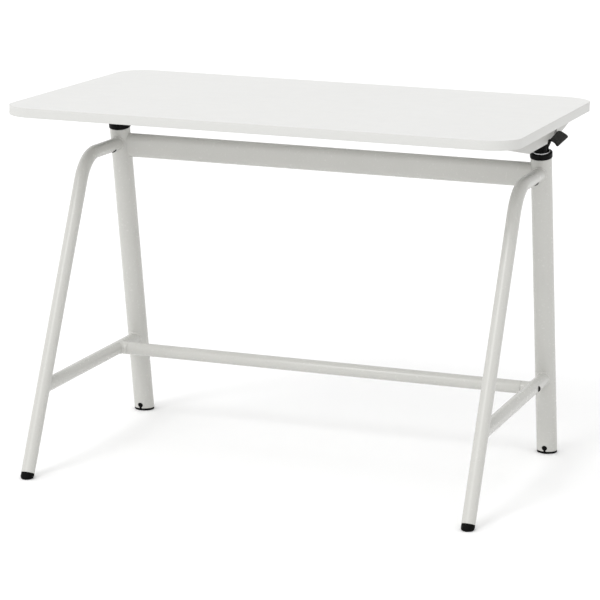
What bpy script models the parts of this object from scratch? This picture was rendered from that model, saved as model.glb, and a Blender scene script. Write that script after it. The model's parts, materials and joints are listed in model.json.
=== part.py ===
"""Height-adjustable drafting table: a laminate board on two leaning gas-lift columns.

Metres, +Z up, +X to the sitter's right, -Y towards the sitter. The origin is on the floor,
under the centre of the whole table. Each rear column leans forwards; the board, its arms and
the inner tubes slide along that lean. A lever under the right-hand end of the board presses
the right gas spring's valve pin, and a cable under the board works the left one.
"""

import math

import bmesh
import bpy
from mathutils import Matrix, Vector

# ---------------------------------------------------------------- driving dimensions
GAP = 0.0003                        # clearance left between pieces that touch
SLIP = 0.0006                       # clearance round a piece that is threaded through a hole

BOARD_W, BOARD_D, BOARD_T = 1.000, 0.640, 0.018
BOARD_Y = 0.0082                    # centre of the board, front to back
TABLE_H = 0.717
BOARD_CORNER_R = 0.063
BAND_T = 0.0010                     # edge band
BAND_ARRIS = 0.0007

FRAME_X = 0.4400                    # centre plane of each end frame
COLUMN_LEAN = math.radians(13.1)
COLUMN_GROUND_Y = 0.2801            # where the column's axis meets the floor
COLUMN_R, COLUMN_WALL = 0.02075, 0.0015
COLUMN_TOP = 0.6406                 # along the axis, from the floor
COLUMN_CUT_Z = 0.0045               # the lower end is cut level with the floor
DRAIN_DEPTH = 0.0055
LEG_DRAIN_R = 0.0045
LEG_DRAINS = {"left": (0.088, -53.0), "right": (0.075, -55.0)}   # y, and degrees below +X

BUTTON_R, BUTTON_ALONG, NECK_HALF = 0.0052, 0.0172, 0.0022
NECK_LOW = 0.0072                   # keeps the neck of the button clear of the floor
SOCKET_R, SOCKET_FLOOR = 0.0053, 0.0140
FOOT_PLUG_TOP = 0.0400

LEG_LEAN = math.radians(25.0)
LEG_GROUND_Y = -0.3150
LEG_R, LEG_WALL = 0.0131, 0.0015
LEG_TOP_Z = 0.5905
LEG_BEND_R = 0.080
LEG_END = 0.0105                    # where the tube stops, along its axis from the floor
LEG_CAP_R, LEG_PLUG_TOP = 0.0129, 0.0460
CAP_ROUND, CAP_SOLE = 0.0065, 0.66   # height of the rounding, share of the outline left flat

RUNG_Z, RUNG_R, RUNG_WALL = 0.1637, 0.0132, 0.0015
BAR_Y, BAR_R, BAR_WALL = 0.1369, 0.01305, 0.0015
BAR_BAND = 0.009                    # the stub's shoulder between rung and bar
BAR_SPIGOT = 0.045
ACCESS_R = 0.0047                   # the hole in a rung that the bar's screw goes in through
BAR_SCREW_HEAD_R, BAR_SCREW_LENGTH = 0.0045, 0.0260

BEAM_ALONG = 0.6022                 # centre of the beam, along the column's axis
BEAM_H, BEAM_DEPTH, BEAM_WALL = 0.0500, 0.0260, 0.0015
SPIGOT_WALL, SPIGOT_LENGTH = 0.0030, 0.050
BEAM_SCREW_INSET, BEAM_SCREW_RISE = 0.028, 0.009

INNER_R, INNER_WALL, INNER_LENGTH = 0.0175, 0.0015, 0.560
INNER_TOP = 0.6535                  # with the table at its lowest
COLLAR_R, COLLAR_H, COLLAR_SLEEVE = 0.0220, 0.0110, 0.040
COLLAR_ROUND = 0.0024
GLIDE_LENGTH = 0.030

CYLINDER_R, CYLINDER_WALL = 0.0130, 0.0015
CYLINDER_LOW, CYLINDER_TOP = 0.046, 0.520
STUD_R, STUD_LOW = 0.0050, 0.0180
GLAND_PLUG, GLAND_LIP = 0.014, 0.003
ROD_R, ROD_LOW, ROD_TOP = 0.0050, 0.060, 0.648
PISTON_LENGTH = 0.014
PIN_R, PIN_LOW, PIN_TOP = 0.0020, 0.636, 0.6560

PIVOT_X, PIVOT_ALONG, PIVOT_R = 0.0090, 0.6620, 0.0020
PIVOT_FRONT, PIVOT_BACK = -0.0112, 0.0134
HEAD_LOW, HEAD_SHOULDER, HEAD_TOP = 0.622, 0.6562, 0.6925
HEAD_HALF_X, HEAD_HALF_Y, HEAD_ROUND = 0.0130, 0.0140, 0.0060
CROWN_LOW, CROWN_HALF_X = 0.6795, 0.0154
CROWN_FRONT, CROWN_BACK = -0.0120, 0.0135
SLOT_HALF_Y, SLOT_PLAY = 0.0053, 0.0005
SLOT_MID = 0.6740                   # top of the slot over the finger

HEAD_BOLT_ALONG, HEAD_BOLT_R = 0.6835, 0.0030
HEAD_BOLT_TIP = 0.0040              # how far past the column's axis the bolt's hole runs
CABLE_SIDE, CABLE_ALONG, CABLE_R = 0.0088, 0.6825, 0.0022
CABLE_POCKET = 0.0085               # the cable's hole in the head stops this far from the axis
CLIP_X, CLIP_HALF_X, CLIP_HALF_Y, CLIP_DROP = 0.250, 0.006, 0.0075, 0.0095
CABLE_DROP = 0.0060                 # of the cable's centre line below the board

PADDLE_INNER_X, PADDLE_OUTER_X = 0.0170, 0.0350
PADDLE_INNER_FLARE, PADDLE_OUTER_FLARE = 0.0040, 0.0075
PADDLE_INNER_ALONG, PADDLE_OUTER_ALONG = 0.6777, 0.6705
PADDLE_FRONT, PADDLE_BACK = -0.0025, 0.0500
PADDLE_T, PADDLE_LIP = 0.0020, 0.0055
PADDLE_CORNER_R = 0.0045
HUB_R = 0.0056

ARM_HALF_X, ARM_WALL = 0.0175, 0.0018
ARM_BOTTOM_Z, ARM_INNER_BOTTOM_Z = 0.6540, 0.6605
ARM_FRONT_Y, ARM_KNEE_FRONT_Y, ARM_KNEE_REAR_Y, ARM_REAR_Y = -0.2480, -0.0300, 0.1720, 0.3060
ARM_FRONT_Z, ARM_REAR_Z = 0.6935, 0.6780
ARM_SCREW_Y = (-0.178, 0.237)
ARM_SCREW_X = 0.0090
BOARD_SCREW_R, BOARD_SCREW_LENGTH = 0.0020, 0.0135
NOTCH = ((0.098, 0.640), (0.1135, 0.6595), (0.1195, 0.6622), (0.1815, 0.6750), (0.190, 0.640))
RIB_X, RIB_T = 0.0122, 0.0016       # stiffening rib in the arm, behind the notch
RIB_FRONT_Y, RIB_REAR_Y = 0.1440, 0.2150

BOARD_LOW_Z = TABLE_H - BOARD_T
CABLE_Z = BOARD_LOW_Z - CABLE_DROP
COS, SIN = math.cos(COLUMN_LEAN), math.sin(COLUMN_LEAN)
SIDES = (("left", -1), ("right", 1))

# ---------------------------------------------------------------- materials
FRAME_WHITE = ("frame_powder_coat", (0.70, 0.70, 0.67), 0.45, 0.0)
ARM_WHITE = ("arm_powder_coat", (0.72, 0.72, 0.70), 0.45, 0.0)
LAMINATE = ("board_laminate", (0.86, 0.86, 0.85), 0.40, 0.0)
BAND = ("board_edge_band", (0.80, 0.80, 0.79), 0.45, 0.0)
BLACK = ("black_plastic", (0.012, 0.012, 0.012), 0.40, 0.0)
RUBBER = ("black_rubber", (0.015, 0.015, 0.015), 0.75, 0.0)
LEVER_BLACK = ("lever_plastic", (0.022, 0.022, 0.020), 0.45, 0.0)
STEEL = ("bright_steel", (0.62, 0.62, 0.62), 0.25, 1.0)
ZINC = ("zinc_screw", (0.60, 0.60, 0.58), 0.35, 1.0)
SPRING_BLACK = ("gas_cylinder_paint", (0.03, 0.03, 0.03), 0.35, 0.2)
CABLE_BLACK = ("cable_sheath", (0.02, 0.02, 0.02), 0.55, 0.0)


def clear_scene():
    """Remove every object, so that the file can be run again."""
    for old in list(bpy.data.objects):
        bpy.data.objects.remove(old, do_unlink=True)


def material(spec):
    """The Principled material of one kind of piece, made once and shared."""
    name, colour, roughness, metallic = spec
    found = bpy.data.materials.get(name)
    if found is None:
        found = bpy.data.materials.new(name)
        found.use_nodes = True
        shader = found.node_tree.nodes["Principled BSDF"]
        shader.inputs["Base Color"].default_value = (*colour, 1.0)
        shader.inputs["Roughness"].default_value = roughness
        shader.inputs["Metallic"].default_value = metallic
    return found


def frame_empty(name, location, lean=0.0):
    """An empty that carries a group of pieces; lean tips it forwards about X."""
    empty = bpy.data.objects.new(name, None)
    bpy.context.collection.objects.link(empty)
    empty.location = location
    empty.rotation_euler = (lean, 0.0, 0.0)
    return empty


def piece(name, bm, spec, parent, location=(0.0, 0.0, 0.0), smooth=True):
    """Turn a bmesh into a named object with its material, under its parent."""
    bmesh.ops.remove_doubles(bm, verts=bm.verts, dist=1e-7)
    bmesh.ops.recalc_face_normals(bm, faces=bm.faces)
    mesh = bpy.data.meshes.new(name)
    bm.to_mesh(mesh)
    bm.free()
    if smooth:
        mesh.shade_smooth()
        mesh.set_sharp_from_angle(angle=math.radians(35))
    mesh.materials.append(material(spec))
    made = bpy.data.objects.new(name, mesh)
    bpy.context.collection.objects.link(made)
    made.parent = parent
    made.location = location
    return made


def cutter(name, bm, parent, location=(0.0, 0.0, 0.0)):
    """A hidden solid that other pieces are cut with."""
    made = piece(name, bm, BLACK, parent, location, smooth=False)
    made.hide_render = True
    made.display_type = "WIRE"
    return made


def boolean(target, tool, operation="DIFFERENCE"):
    """Cut, or join, one solid with another; the modifier stays on the piece."""
    step = target.modifiers.new(f"{operation.lower()}_{tool.name}", "BOOLEAN")
    step.operation = operation
    step.solver = "EXACT"
    step.object = tool


# ---------------------------------------------------------------- shape makers
def bridge(bm, low, high):
    """Faces between two closed loops of the same number of points."""
    count = len(low)
    for i in range(count):
        j = (i + 1) % count
        bm.faces.new((low[i], low[j], high[j], high[i]))


def turned(profile, segments=32):
    """A solid of revolution about local Z from (radius, height) pairs, closed on itself.

    The pairs run round the section; a radius of 0 is a point on the axis.
    """
    bm = bmesh.new()
    loops = []
    for radius, height in profile:
        if radius == 0.0:
            loops.append([bm.verts.new((0.0, 0.0, height))])
            continue
        ring = []
        for i in range(segments):
            angle = 2 * math.pi * i / segments
            ring.append(bm.verts.new((radius * math.cos(angle), radius * math.sin(angle), height)))
        loops.append(ring)
    for low, high in zip(loops, loops[1:] + loops[:1]):
        if len(low) == 1 and len(high) == 1:
            continue
        if len(low) == 1 or len(high) == 1:
            tip, ring = (low[0], high) if len(low) == 1 else (high[0], low)
            for i in range(segments):
                bm.faces.new((tip, ring[i], ring[(i + 1) % segments]))
            continue
        bridge(bm, low, high)
    return bm


def swept_tube(path, radius, wall, segments=20):
    """A round tube along a path; wall 0 makes it solid."""
    bm = bmesh.new()
    first = (path[1] - path[0]).normalized()
    side = Vector((0.0, 1.0, 0.0)) if abs(first.x) > 0.9 else Vector((1.0, 0.0, 0.0))
    outer, inner = [], []
    for index, point in enumerate(path):
        before = path[max(index - 1, 0)]
        after = path[min(index + 1, len(path) - 1)]
        along = (after - before).normalized()
        side = (side - along * side.dot(along)).normalized()
        up = along.cross(side)
        for radii, loops in ((radius, outer), (radius - wall, inner)):
            ring = []
            for i in range(segments):
                angle = 2 * math.pi * i / segments
                offset = side * math.cos(angle) + up * math.sin(angle)
                ring.append(bm.verts.new(point + offset * radii))
            loops.append(ring)
            if not wall:
                break
    for low, high in zip(outer, outer[1:]):
        bridge(bm, low, high)
    if wall:
        for low, high in zip(inner, inner[1:]):
            bridge(bm, high, low)
        bridge(bm, inner[0], outer[0])
        bridge(bm, outer[-1], inner[-1])
    else:
        bm.faces.new(outer[0])
        bm.faces.new(outer[-1])
    return bm


def rod_between(start, end, radius, wall=0.0, segments=20):
    """A straight tube or rod."""
    return swept_tube([Vector(start), Vector(end)], radius, wall, segments)


def drill_between(start, end, radius):
    """A drill: a plain rod with few sides, for small holes."""
    return rod_between(start, end, radius, 0.0, 12)


def prism(outline, direction, low, high):
    """A flat outline pushed along one axis: the other two coordinates come from the outline."""
    bm = bmesh.new()
    rings = []
    for level in (low, high):
        ring = []
        for a, b in outline:
            place = {"x": (level, a, b), "y": (a, level, b), "z": (a, b, level)}[direction]
            ring.append(bm.verts.new(place))
        rings.append(ring)
    bridge(bm, rings[0], rings[1])
    bm.faces.new(rings[0])
    bm.faces.new(rings[1])
    return bm


def block(low, high):
    """A box between two corners."""
    lows = [min(a, b) for a, b in zip(low, high)]
    highs = [max(a, b) for a, b in zip(low, high)]
    outline = [(lows[0], lows[1]), (highs[0], lows[1]), (highs[0], highs[1]), (lows[0], highs[1])]
    return prism(outline, "z", lows[2], highs[2])


def merged(*parts):
    """Several separate bodies in one bmesh, for a cutter with more than one tool."""
    total = bmesh.new()
    for part in parts:
        mesh = bpy.data.meshes.new("merge")
        part.to_mesh(mesh)
        part.free()
        total.from_mesh(mesh)
        bpy.data.meshes.remove(mesh)
    return total


def rounded_rectangle(width, depth, radius, arc_steps=8):
    """Points round a rectangle with round corners, centred on the origin."""
    points = []
    for corner, (sx, sy) in enumerate(((1, 1), (-1, 1), (-1, -1), (1, -1))):
        cx, cy = sx * (width / 2 - radius), sy * (depth / 2 - radius)
        for i in range(arc_steps + 1):
            angle = math.pi / 2 * (corner + i / arc_steps)
            points.append((cx + radius * math.cos(angle), cy + radius * math.sin(angle)))
    return points


def stadium(height, depth, inset=0.0, arc_steps=7):
    """A flat oval standing on end: straight sides with half-round top and bottom."""
    radius = depth / 2 - inset
    straight = (height - depth) / 2
    points = []
    for turn, centre in ((0, straight), (1, -straight)):
        for i in range(arc_steps + 1):
            angle = math.pi * (turn + i / arc_steps)
            points.append((radius * math.cos(angle), centre + radius * math.sin(angle)))
    return points


def oval_tube(height, depth, inset, wall, low, high):
    """A flat oval tube along X."""
    bm = bmesh.new()
    loops = []
    for level, extra in ((low, 0.0), (high, 0.0), (high, wall), (low, wall)):
        outline = stadium(height, depth, inset + extra)
        loops.append([bm.verts.new((level, a, b)) for a, b in outline])
    for first, second in zip(loops, loops[1:] + loops[:1]):
        bridge(bm, first, second)
    return bm


# ---------------------------------------------------------------- base frame
def level_ring(bm, radius, height, segments=28):
    """A ring on the column's surface, cut level at a height above the floor."""
    ring = []
    for i in range(segments):
        angle = 2 * math.pi * i / segments
        x, y = radius * math.cos(angle), radius * math.sin(angle)
        ring.append(bm.verts.new((x, y, (height - y * SIN) / COS)))
    return ring


def square_ring(bm, radius, along, segments=28):
    """A ring square to the column's axis."""
    ring = []
    for i in range(segments):
        angle = 2 * math.pi * i / segments
        ring.append(bm.verts.new((radius * math.cos(angle), radius * math.sin(angle), along)))
    return ring


def make_column(name, axis):
    """Outer column: a tube cut level at the floor, with a keyhole for its foot's button."""
    bm = bmesh.new()
    bore = COLUMN_R - COLUMN_WALL
    loops = [
        level_ring(bm, COLUMN_R, COLUMN_CUT_Z),
        square_ring(bm, COLUMN_R, COLUMN_TOP),
        square_ring(bm, bore, COLUMN_TOP),
        level_ring(bm, bore, COLUMN_CUT_Z),
    ]
    for first, second in zip(loops, loops[1:] + loops[:1]):
        bridge(bm, first, second)
    column = piece(f"column_{name}", bm, FRAME_WHITE, axis)
    boolean(column, cutter(f"cut_keyhole_{name}", foot_button(GAP), axis))


def foot_button(slack):
    """The foot's snap button and its neck, pointing to the front of the column."""
    front = -COLUMN_R - (0.004 if slack else 0.0005)
    back = -COLUMN_R + (0.006 if slack else 0.0055)
    low = 0.0005 if slack else NECK_LOW
    radius, half = BUTTON_R + slack, NECK_HALF + slack
    steps = 12
    start = math.asin(half / radius)
    outline = []
    for i in range(steps + 1):
        angle = -math.pi / 2 + start + (2 * math.pi - 2 * start) * i / steps
        outline.append((radius * math.cos(angle), BUTTON_ALONG + radius * math.sin(angle)))
    outline += [(-half, low), (half, low)]
    return prism(outline, "y", front, back)


def make_column_foot(name, axis):
    """Foot insert: a floor rim, a plug up the tube and the button that locks it."""
    bm = bmesh.new()
    plug_r = COLUMN_R - COLUMN_WALL - GAP
    rim_r, chamfer = COLUMN_R - 0.0002, 0.0010
    rings = [
        level_ring(bm, SOCKET_R, SOCKET_FLOOR),
        square_ring(bm, SOCKET_R, FOOT_PLUG_TOP),
        square_ring(bm, plug_r - chamfer, FOOT_PLUG_TOP),
        square_ring(bm, plug_r, FOOT_PLUG_TOP - chamfer),
        level_ring(bm, plug_r, COLUMN_CUT_Z - GAP),
        level_ring(bm, rim_r, COLUMN_CUT_Z - GAP),
        level_ring(bm, rim_r, chamfer),
        level_ring(bm, rim_r - chamfer, 0.0),
    ]
    for first, second in zip(rings, rings[1:]):
        bridge(bm, first, second)
    bm.faces.new(rings[0])
    bm.faces.new(rings[-1])
    foot = piece(f"column_foot_{name}", bm, RUBBER, axis)
    boolean(foot, cutter(f"join_button_{name}", foot_button(0.0), axis), "UNION")


def leg_path():
    """Centre line of the front leg in its own plane, from the floor end to the column."""
    up = Vector((0.0, math.sin(LEG_LEAN), math.cos(LEG_LEAN)))
    corner = up * (LEG_TOP_Z / math.cos(LEG_LEAN))
    turn = math.pi / 2 - LEG_LEAN
    tangent = LEG_BEND_R * math.tan(turn / 2)
    start = corner - up * tangent
    inward = Vector((0.0, math.cos(LEG_LEAN), -math.sin(LEG_LEAN)))
    centre = start + inward * LEG_BEND_R
    points = [up * LEG_END]
    steps = 7
    for i in range(steps + 1):
        angle = turn * i / steps
        arm = up * math.sin(angle) - inward * math.cos(angle)
        points.append(centre + arm * LEG_BEND_R)
    column_y = COLUMN_GROUND_Y - LEG_TOP_Z * SIN / COS - LEG_GROUND_Y
    points.append(Vector((0.0, column_y, LEG_TOP_Z)))
    return points


def make_leg(name, ground):
    """Front leg: one bent tube with a drain hole near the column."""
    tube = swept_tube(leg_path(), LEG_R, LEG_WALL)
    leg = piece(f"front_leg_{name}", tube, FRAME_WHITE, ground)
    y, angle = LEG_DRAINS[name]
    outward = Vector((math.cos(math.radians(angle)), 0.0, math.sin(math.radians(angle))))
    centre = Vector((0.0, y - LEG_GROUND_Y, LEG_TOP_Z))
    drill = drill_between(centre + outward * (LEG_R - DRAIN_DEPTH),
                          centre + outward * (LEG_R + DRAIN_DEPTH), LEG_DRAIN_R)
    boolean(leg, cutter(f"cut_leg_drain_{name}", drill, ground))
    return leg


def make_leg_foot(name, leg_axis):
    """Black cap with a plug up the leg: a shallow bowl whose sole lies on the floor."""
    plug_r = LEG_R - LEG_WALL - GAP
    top, taper, slope = LEG_END - GAP, 0.002, math.tan(LEG_LEAN)
    segments = 24
    bm = bmesh.new()
    loops = [square_ring(bm, plug_r - taper, LEG_PLUG_TOP, segments),
             square_ring(bm, plug_r, LEG_PLUG_TOP - taper, segments),
             square_ring(bm, plug_r, top, segments), square_ring(bm, LEG_CAP_R, top, segments)]
    for t in (0.0, 0.4, 0.75, 1.0):
        ring = []
        for i in range(segments):
            angle = 2 * math.pi * i / segments
            x, y = LEG_CAP_R * math.cos(angle), LEG_CAP_R * math.sin(angle)
            wall = Vector((x, y, y * slope))
            sole = wall * CAP_SOLE
            rise = min(CAP_ROUND, 0.8 * (top - wall.z))
            start = wall + Vector((0.0, 0.0, rise))
            ring.append(bm.verts.new(start * (1 - t) ** 2 + wall * 2 * t * (1 - t) + sole * t * t))
        loops.append(ring)
    for first, second in zip(loops, loops[1:]):
        bridge(bm, first, second)
    bm.faces.new(loops[0])
    bm.faces.new(loops[-1])
    piece(f"front_foot_{name}", bm, RUBBER, leg_axis)


def make_rung(name, sign):
    """Side rung between front leg and column, coped at both ends."""
    front = LEG_GROUND_Y + RUNG_Z * math.tan(LEG_LEAN)
    back = COLUMN_GROUND_Y - RUNG_Z * SIN / COS
    bm = rod_between((0, front, 0), (0, back, 0), RUNG_R, RUNG_WALL)
    rung = piece(f"side_rung_{name}", bm, FRAME_WHITE, None, (sign * FRAME_X, 0, RUNG_Z))
    near, far = sign * (RUNG_R - 0.006), sign * (RUNG_R + 0.004)
    access = drill_between((near, 0, 0), (far, 0, 0), ACCESS_R)
    place = (sign * FRAME_X, BAR_Y, RUNG_Z)
    boolean(rung, cutter(f"cut_access_{name}", access, None, place))
    return rung


def make_bar_stub(name, sign):
    """Stub on the rung: a short shoulder, then a spigot that the lower bar slides over."""
    shoulder = FRAME_X - RUNG_R - GAP - BAR_BAND
    spigot_r = BAR_R - BAR_WALL - GAP
    spigot_end = shoulder - BAR_SPIGOT
    spigot_root = shoulder + 0.004
    outer = rod_between((sign * FRAME_X, 0, 0), (sign * shoulder, 0, 0), BAR_R)
    stub = piece(f"bar_stub_{name}", outer, FRAME_WHITE, None, (0, BAR_Y, RUNG_Z))
    spigot = rod_between((sign * spigot_root, 0, 0), (sign * spigot_end, 0, 0), spigot_r)
    boolean(stub, cutter(f"join_spigot_{name}", spigot, None, (0, BAR_Y, RUNG_Z)), "UNION")
    return stub


def make_bar():
    """Lower bar between the two end frames."""
    half = FRAME_X - RUNG_R - GAP - BAR_BAND - GAP
    bm = rod_between((-half, 0, 0), (half, 0, 0), BAR_R, BAR_WALL)
    return piece("lower_bar", bm, FRAME_WHITE, None, (0, BAR_Y, RUNG_Z))


def button_screw(head_r, head_h, shank_r, shank_length):
    """A domed screw along local Z: the head above 0, the shank below."""
    profile = [(0.0, -shank_length), (shank_r, -shank_length), (shank_r, 0.0), (head_r, 0.0),
               (head_r, head_h * 0.4), (head_r * 0.6, head_h), (0.0, head_h)]
    return turned(profile, 10)


def make_beam(column_plane):
    """Upper beam: a flat oval tube between the columns, coped to both."""
    bm = oval_tube(BEAM_H, BEAM_DEPTH, 0.0, BEAM_WALL, -FRAME_X, FRAME_X)
    return piece("upper_beam", bm, FRAME_WHITE, column_plane, (0, 0, BEAM_ALONG))


def make_spigot(name, sign, column_plane):
    """Flat oval stub on the column that the beam slides over."""
    end = FRAME_X - COLUMN_R - SPIGOT_LENGTH
    bm = oval_tube(BEAM_H, BEAM_DEPTH, BEAM_WALL + GAP, SPIGOT_WALL, sign * FRAME_X, sign * end)
    return piece(f"beam_spigot_{name}", bm, FRAME_WHITE, column_plane, (0, 0, BEAM_ALONG))


def cope_tools(name, sign, axis, leg_axis):
    """The three rods that the tubes of one end frame are coped with."""
    column_rod = rod_between((0, 0, -0.05), (0, 0, 0.70), COLUMN_R + GAP, 0.0, 28)
    leg_rod = rod_between((0, 0, -0.05), (0, 0, 0.40), LEG_R + GAP)
    rung_rod = rod_between((0, -0.1, 0), (0, 0.2, 0), RUNG_R + GAP)
    return (
        cutter(f"cut_column_{name}", column_rod, axis),
        cutter(f"cut_leg_{name}", leg_rod, leg_axis),
        cutter(f"cut_rung_{name}", rung_rod, None, (sign * FRAME_X, 0, RUNG_Z)),
    )


def build_base(column_plane, axes):
    """The two welded end frames, the parts between them and their fasteners."""
    beam = make_beam(column_plane)
    make_bar()
    for name, sign in SIDES:
        axis = axes[name]
        ground = frame_empty(f"leg_ground_{name}", (sign * FRAME_X, LEG_GROUND_Y, 0))
        leg_axis = frame_empty(f"leg_axis_{name}", (sign * FRAME_X, LEG_GROUND_Y, 0), -LEG_LEAN)
        column_tool, leg_tool, rung_tool = cope_tools(name, sign, axis, leg_axis)
        make_column(name, axis)
        make_column_foot(name, axis)
        make_leg_foot(name, leg_axis)
        leg = make_leg(name, ground)
        boolean(leg, column_tool)
        rung = make_rung(name, sign)
        boolean(rung, column_tool)
        boolean(rung, leg_tool)
        stub = make_bar_stub(name, sign)
        boolean(stub, rung_tool)
        spigot = make_spigot(name, sign, column_plane)
        boolean(spigot, column_tool)
        boolean(beam, column_tool)
        fasten_beam(name, sign, column_plane, beam, spigot)
        fasten_bar(name, sign, rung, stub)


def fasten_beam(name, sign, column_plane, beam, spigot):
    """Two button screws per end, from the back of the beam into the spigot."""
    x = sign * (FRAME_X - COLUMN_R - BEAM_SCREW_INSET)
    face = BEAM_DEPTH / 2
    shank_r = 0.0028
    drills = []
    for place, side in (("lower", -1), ("upper", 1)):
        along = BEAM_ALONG + side * BEAM_SCREW_RISE
        bm = button_screw(0.0050, 0.0030, shank_r, 0.0095)
        bm.transform(Matrix.Rotation(-math.pi / 2, 4, "X"))
        piece(f"beam_screw_{name}_{place}", bm, ZINC, column_plane, (x, face + GAP, along))
        drills.append(drill_between((x, 0.004, along), (x, face + 0.004, along), shank_r + GAP))
    tool = cutter(f"drill_beam_{name}", merged(*drills), column_plane)
    boolean(beam, tool)
    boolean(spigot, tool)


def fasten_bar(name, sign, rung, stub):
    """One screw per end, put in through the rung's access hole and driven into the stub."""
    head_r, head_h, shank_r, shank_length = BAR_SCREW_HEAD_R, 0.0026, 0.0028, BAR_SCREW_LENGTH
    seat = FRAME_X - math.sqrt((RUNG_R - RUNG_WALL) ** 2 - head_r ** 2) + GAP
    bm = button_screw(head_r, head_h, shank_r, shank_length)
    bm.transform(Matrix.Rotation(sign * math.pi / 2, 4, "Y"))
    piece(f"bar_screw_{name}", bm, ZINC, None, (sign * seat, BAR_Y, RUNG_Z))
    outer_end, inner_end = sign * (seat + 0.001), sign * (seat - shank_length - 0.0015)
    drill = drill_between((outer_end, BAR_Y, RUNG_Z), (inner_end, BAR_Y, RUNG_Z), shank_r + GAP)
    tool = cutter(f"drill_bar_{name}", drill, None)
    boolean(rung, tool)
    boolean(stub, tool)


# ---------------------------------------------------------------- gas springs and sliding tubes
def make_collar(name, axis):
    """Guide collar: the black ring on top of the column and its sleeve down inside."""
    bore = INNER_R + GAP
    sleeve = COLUMN_R - COLUMN_WALL - GAP
    low, top = COLUMN_TOP + GAP, COLUMN_TOP + COLLAR_H
    profile = [(bore, low - COLLAR_SLEEVE), (sleeve, low - COLLAR_SLEEVE), (sleeve, low),
               (COLLAR_R, low), (COLLAR_R, top - COLLAR_ROUND), (COLLAR_R - COLLAR_ROUND, top),
               (bore, top)]
    piece(f"column_collar_{name}", turned(profile, 28), BLACK, axis)


def make_gas_cylinder(name, axis):
    """Gas spring body: a deep cup with a stud that stands in the foot's socket."""
    bore = CYLINDER_R - CYLINDER_WALL
    floor = CYLINDER_LOW + 0.004
    edge = 0.001
    profile = [(0.0, STUD_LOW), (STUD_R, STUD_LOW), (STUD_R, CYLINDER_LOW),
               (CYLINDER_R - edge, CYLINDER_LOW), (CYLINDER_R, CYLINDER_LOW + edge),
               (CYLINDER_R, CYLINDER_TOP), (bore, CYLINDER_TOP), (bore, floor), (0.0, floor)]
    piece(f"gas_cylinder_{name}", turned(profile, 16), SPRING_BLACK, axis)


def make_gland(name, axis):
    """The rod guide and seal that closes the top of the gas cylinder."""
    plug = CYLINDER_R - CYLINDER_WALL - GAP
    hole = ROD_R + GAP
    top = CYLINDER_TOP + GAP
    profile = [(hole, top - GLAND_PLUG), (plug, top - GLAND_PLUG), (plug, top), (CYLINDER_R, top),
               (CYLINDER_R - 0.001, top + GLAND_LIP), (hole, top + GLAND_LIP)]
    piece(f"gas_gland_{name}", turned(profile, 16), STEEL, axis)


def make_rod(name, axis):
    """Piston rod with its piston below and a socket for the valve pin on top."""
    piston = CYLINDER_R - CYLINDER_WALL - GAP
    pin_hole = PIN_R + GAP
    piston_top = ROD_LOW + PISTON_LENGTH
    hole_floor = PIN_LOW - 0.004
    profile = [(0.0, ROD_LOW), (piston - 0.001, ROD_LOW), (piston, ROD_LOW + 0.001),
               (piston, piston_top), (ROD_R, piston_top), (ROD_R, ROD_TOP),
               (pin_hole, ROD_TOP), (pin_hole, hole_floor), (0.0, hole_floor)]
    piece(f"gas_rod_{name}", turned(profile, 16), STEEL, axis)


def make_valve_pin(name, axis):
    """The pin that opens the gas spring's valve; its origin is on its own axis."""
    length = PIN_TOP - PIN_LOW
    tip = 0.0006
    profile = [(0.0, -length), (PIN_R, -length), (PIN_R, -tip), (PIN_R - tip, 0.0), (0.0, 0.0)]
    piece(f"valve_pin_{name}", turned(profile, 10), STEEL, axis, (0, 0, PIN_TOP))


def make_inner_tube(name, axis):
    """Sliding tube that carries the board's arm."""
    bore = INNER_R - INNER_WALL
    low = INNER_TOP - INNER_LENGTH
    profile = [(bore, low), (INNER_R, low), (INNER_R, INNER_TOP), (bore, INNER_TOP)]
    piece(f"inner_tube_{name}", turned(profile, 28), STEEL, axis)


def make_glide(name, axis):
    """Plastic shoe round the lower end of the inner tube, running in the column."""
    low = INNER_TOP - INNER_LENGTH
    outer = COLUMN_R - COLUMN_WALL - GAP
    inner = INNER_R + GAP
    lip = INNER_R - INNER_WALL
    top = low + GLIDE_LENGTH
    profile = [(lip, low - 0.003), (outer - 0.001, low - 0.003), (outer, low - 0.002), (outer, top),
               (inner, top), (inner, low - GAP), (lip, low - GAP)]
    piece(f"inner_glide_{name}", turned(profile, 28), BLACK, axis)


def head_slot(sign):
    """The slot that the release lever swings in: low over the finger, higher over the arm."""
    low = HEAD_SHOULDER - 0.0025
    outline = [(-0.0045, low), (0.0200, low), (0.0200, CROWN_LOW), (0.0062, CROWN_LOW),
               (0.0045, SLOT_MID), (-0.0045, SLOT_MID)]
    return prism([(sign * x, along) for x, along in outline], "y", -SLOT_HALF_Y, SLOT_HALF_Y)


def head_drills(sign):
    """Holes in the head for the pivot pin, the bolt and the cable's end."""
    side = -sign * 0.020
    pin = drill_between((sign * PIVOT_X, PIVOT_FRONT - GAP, PIVOT_ALONG),
                        (sign * PIVOT_X, 0.020, PIVOT_ALONG), PIVOT_R + GAP)
    bolt = drill_between((side, 0, HEAD_BOLT_ALONG), (sign * HEAD_BOLT_TIP, 0, HEAD_BOLT_ALONG),
                         HEAD_BOLT_R + GAP)
    cable = drill_between((side, CABLE_SIDE, CABLE_ALONG),
                          (-sign * CABLE_POCKET, CABLE_SIDE, CABLE_ALONG), CABLE_R + GAP)
    return merged(pin, bolt, cable)


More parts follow.
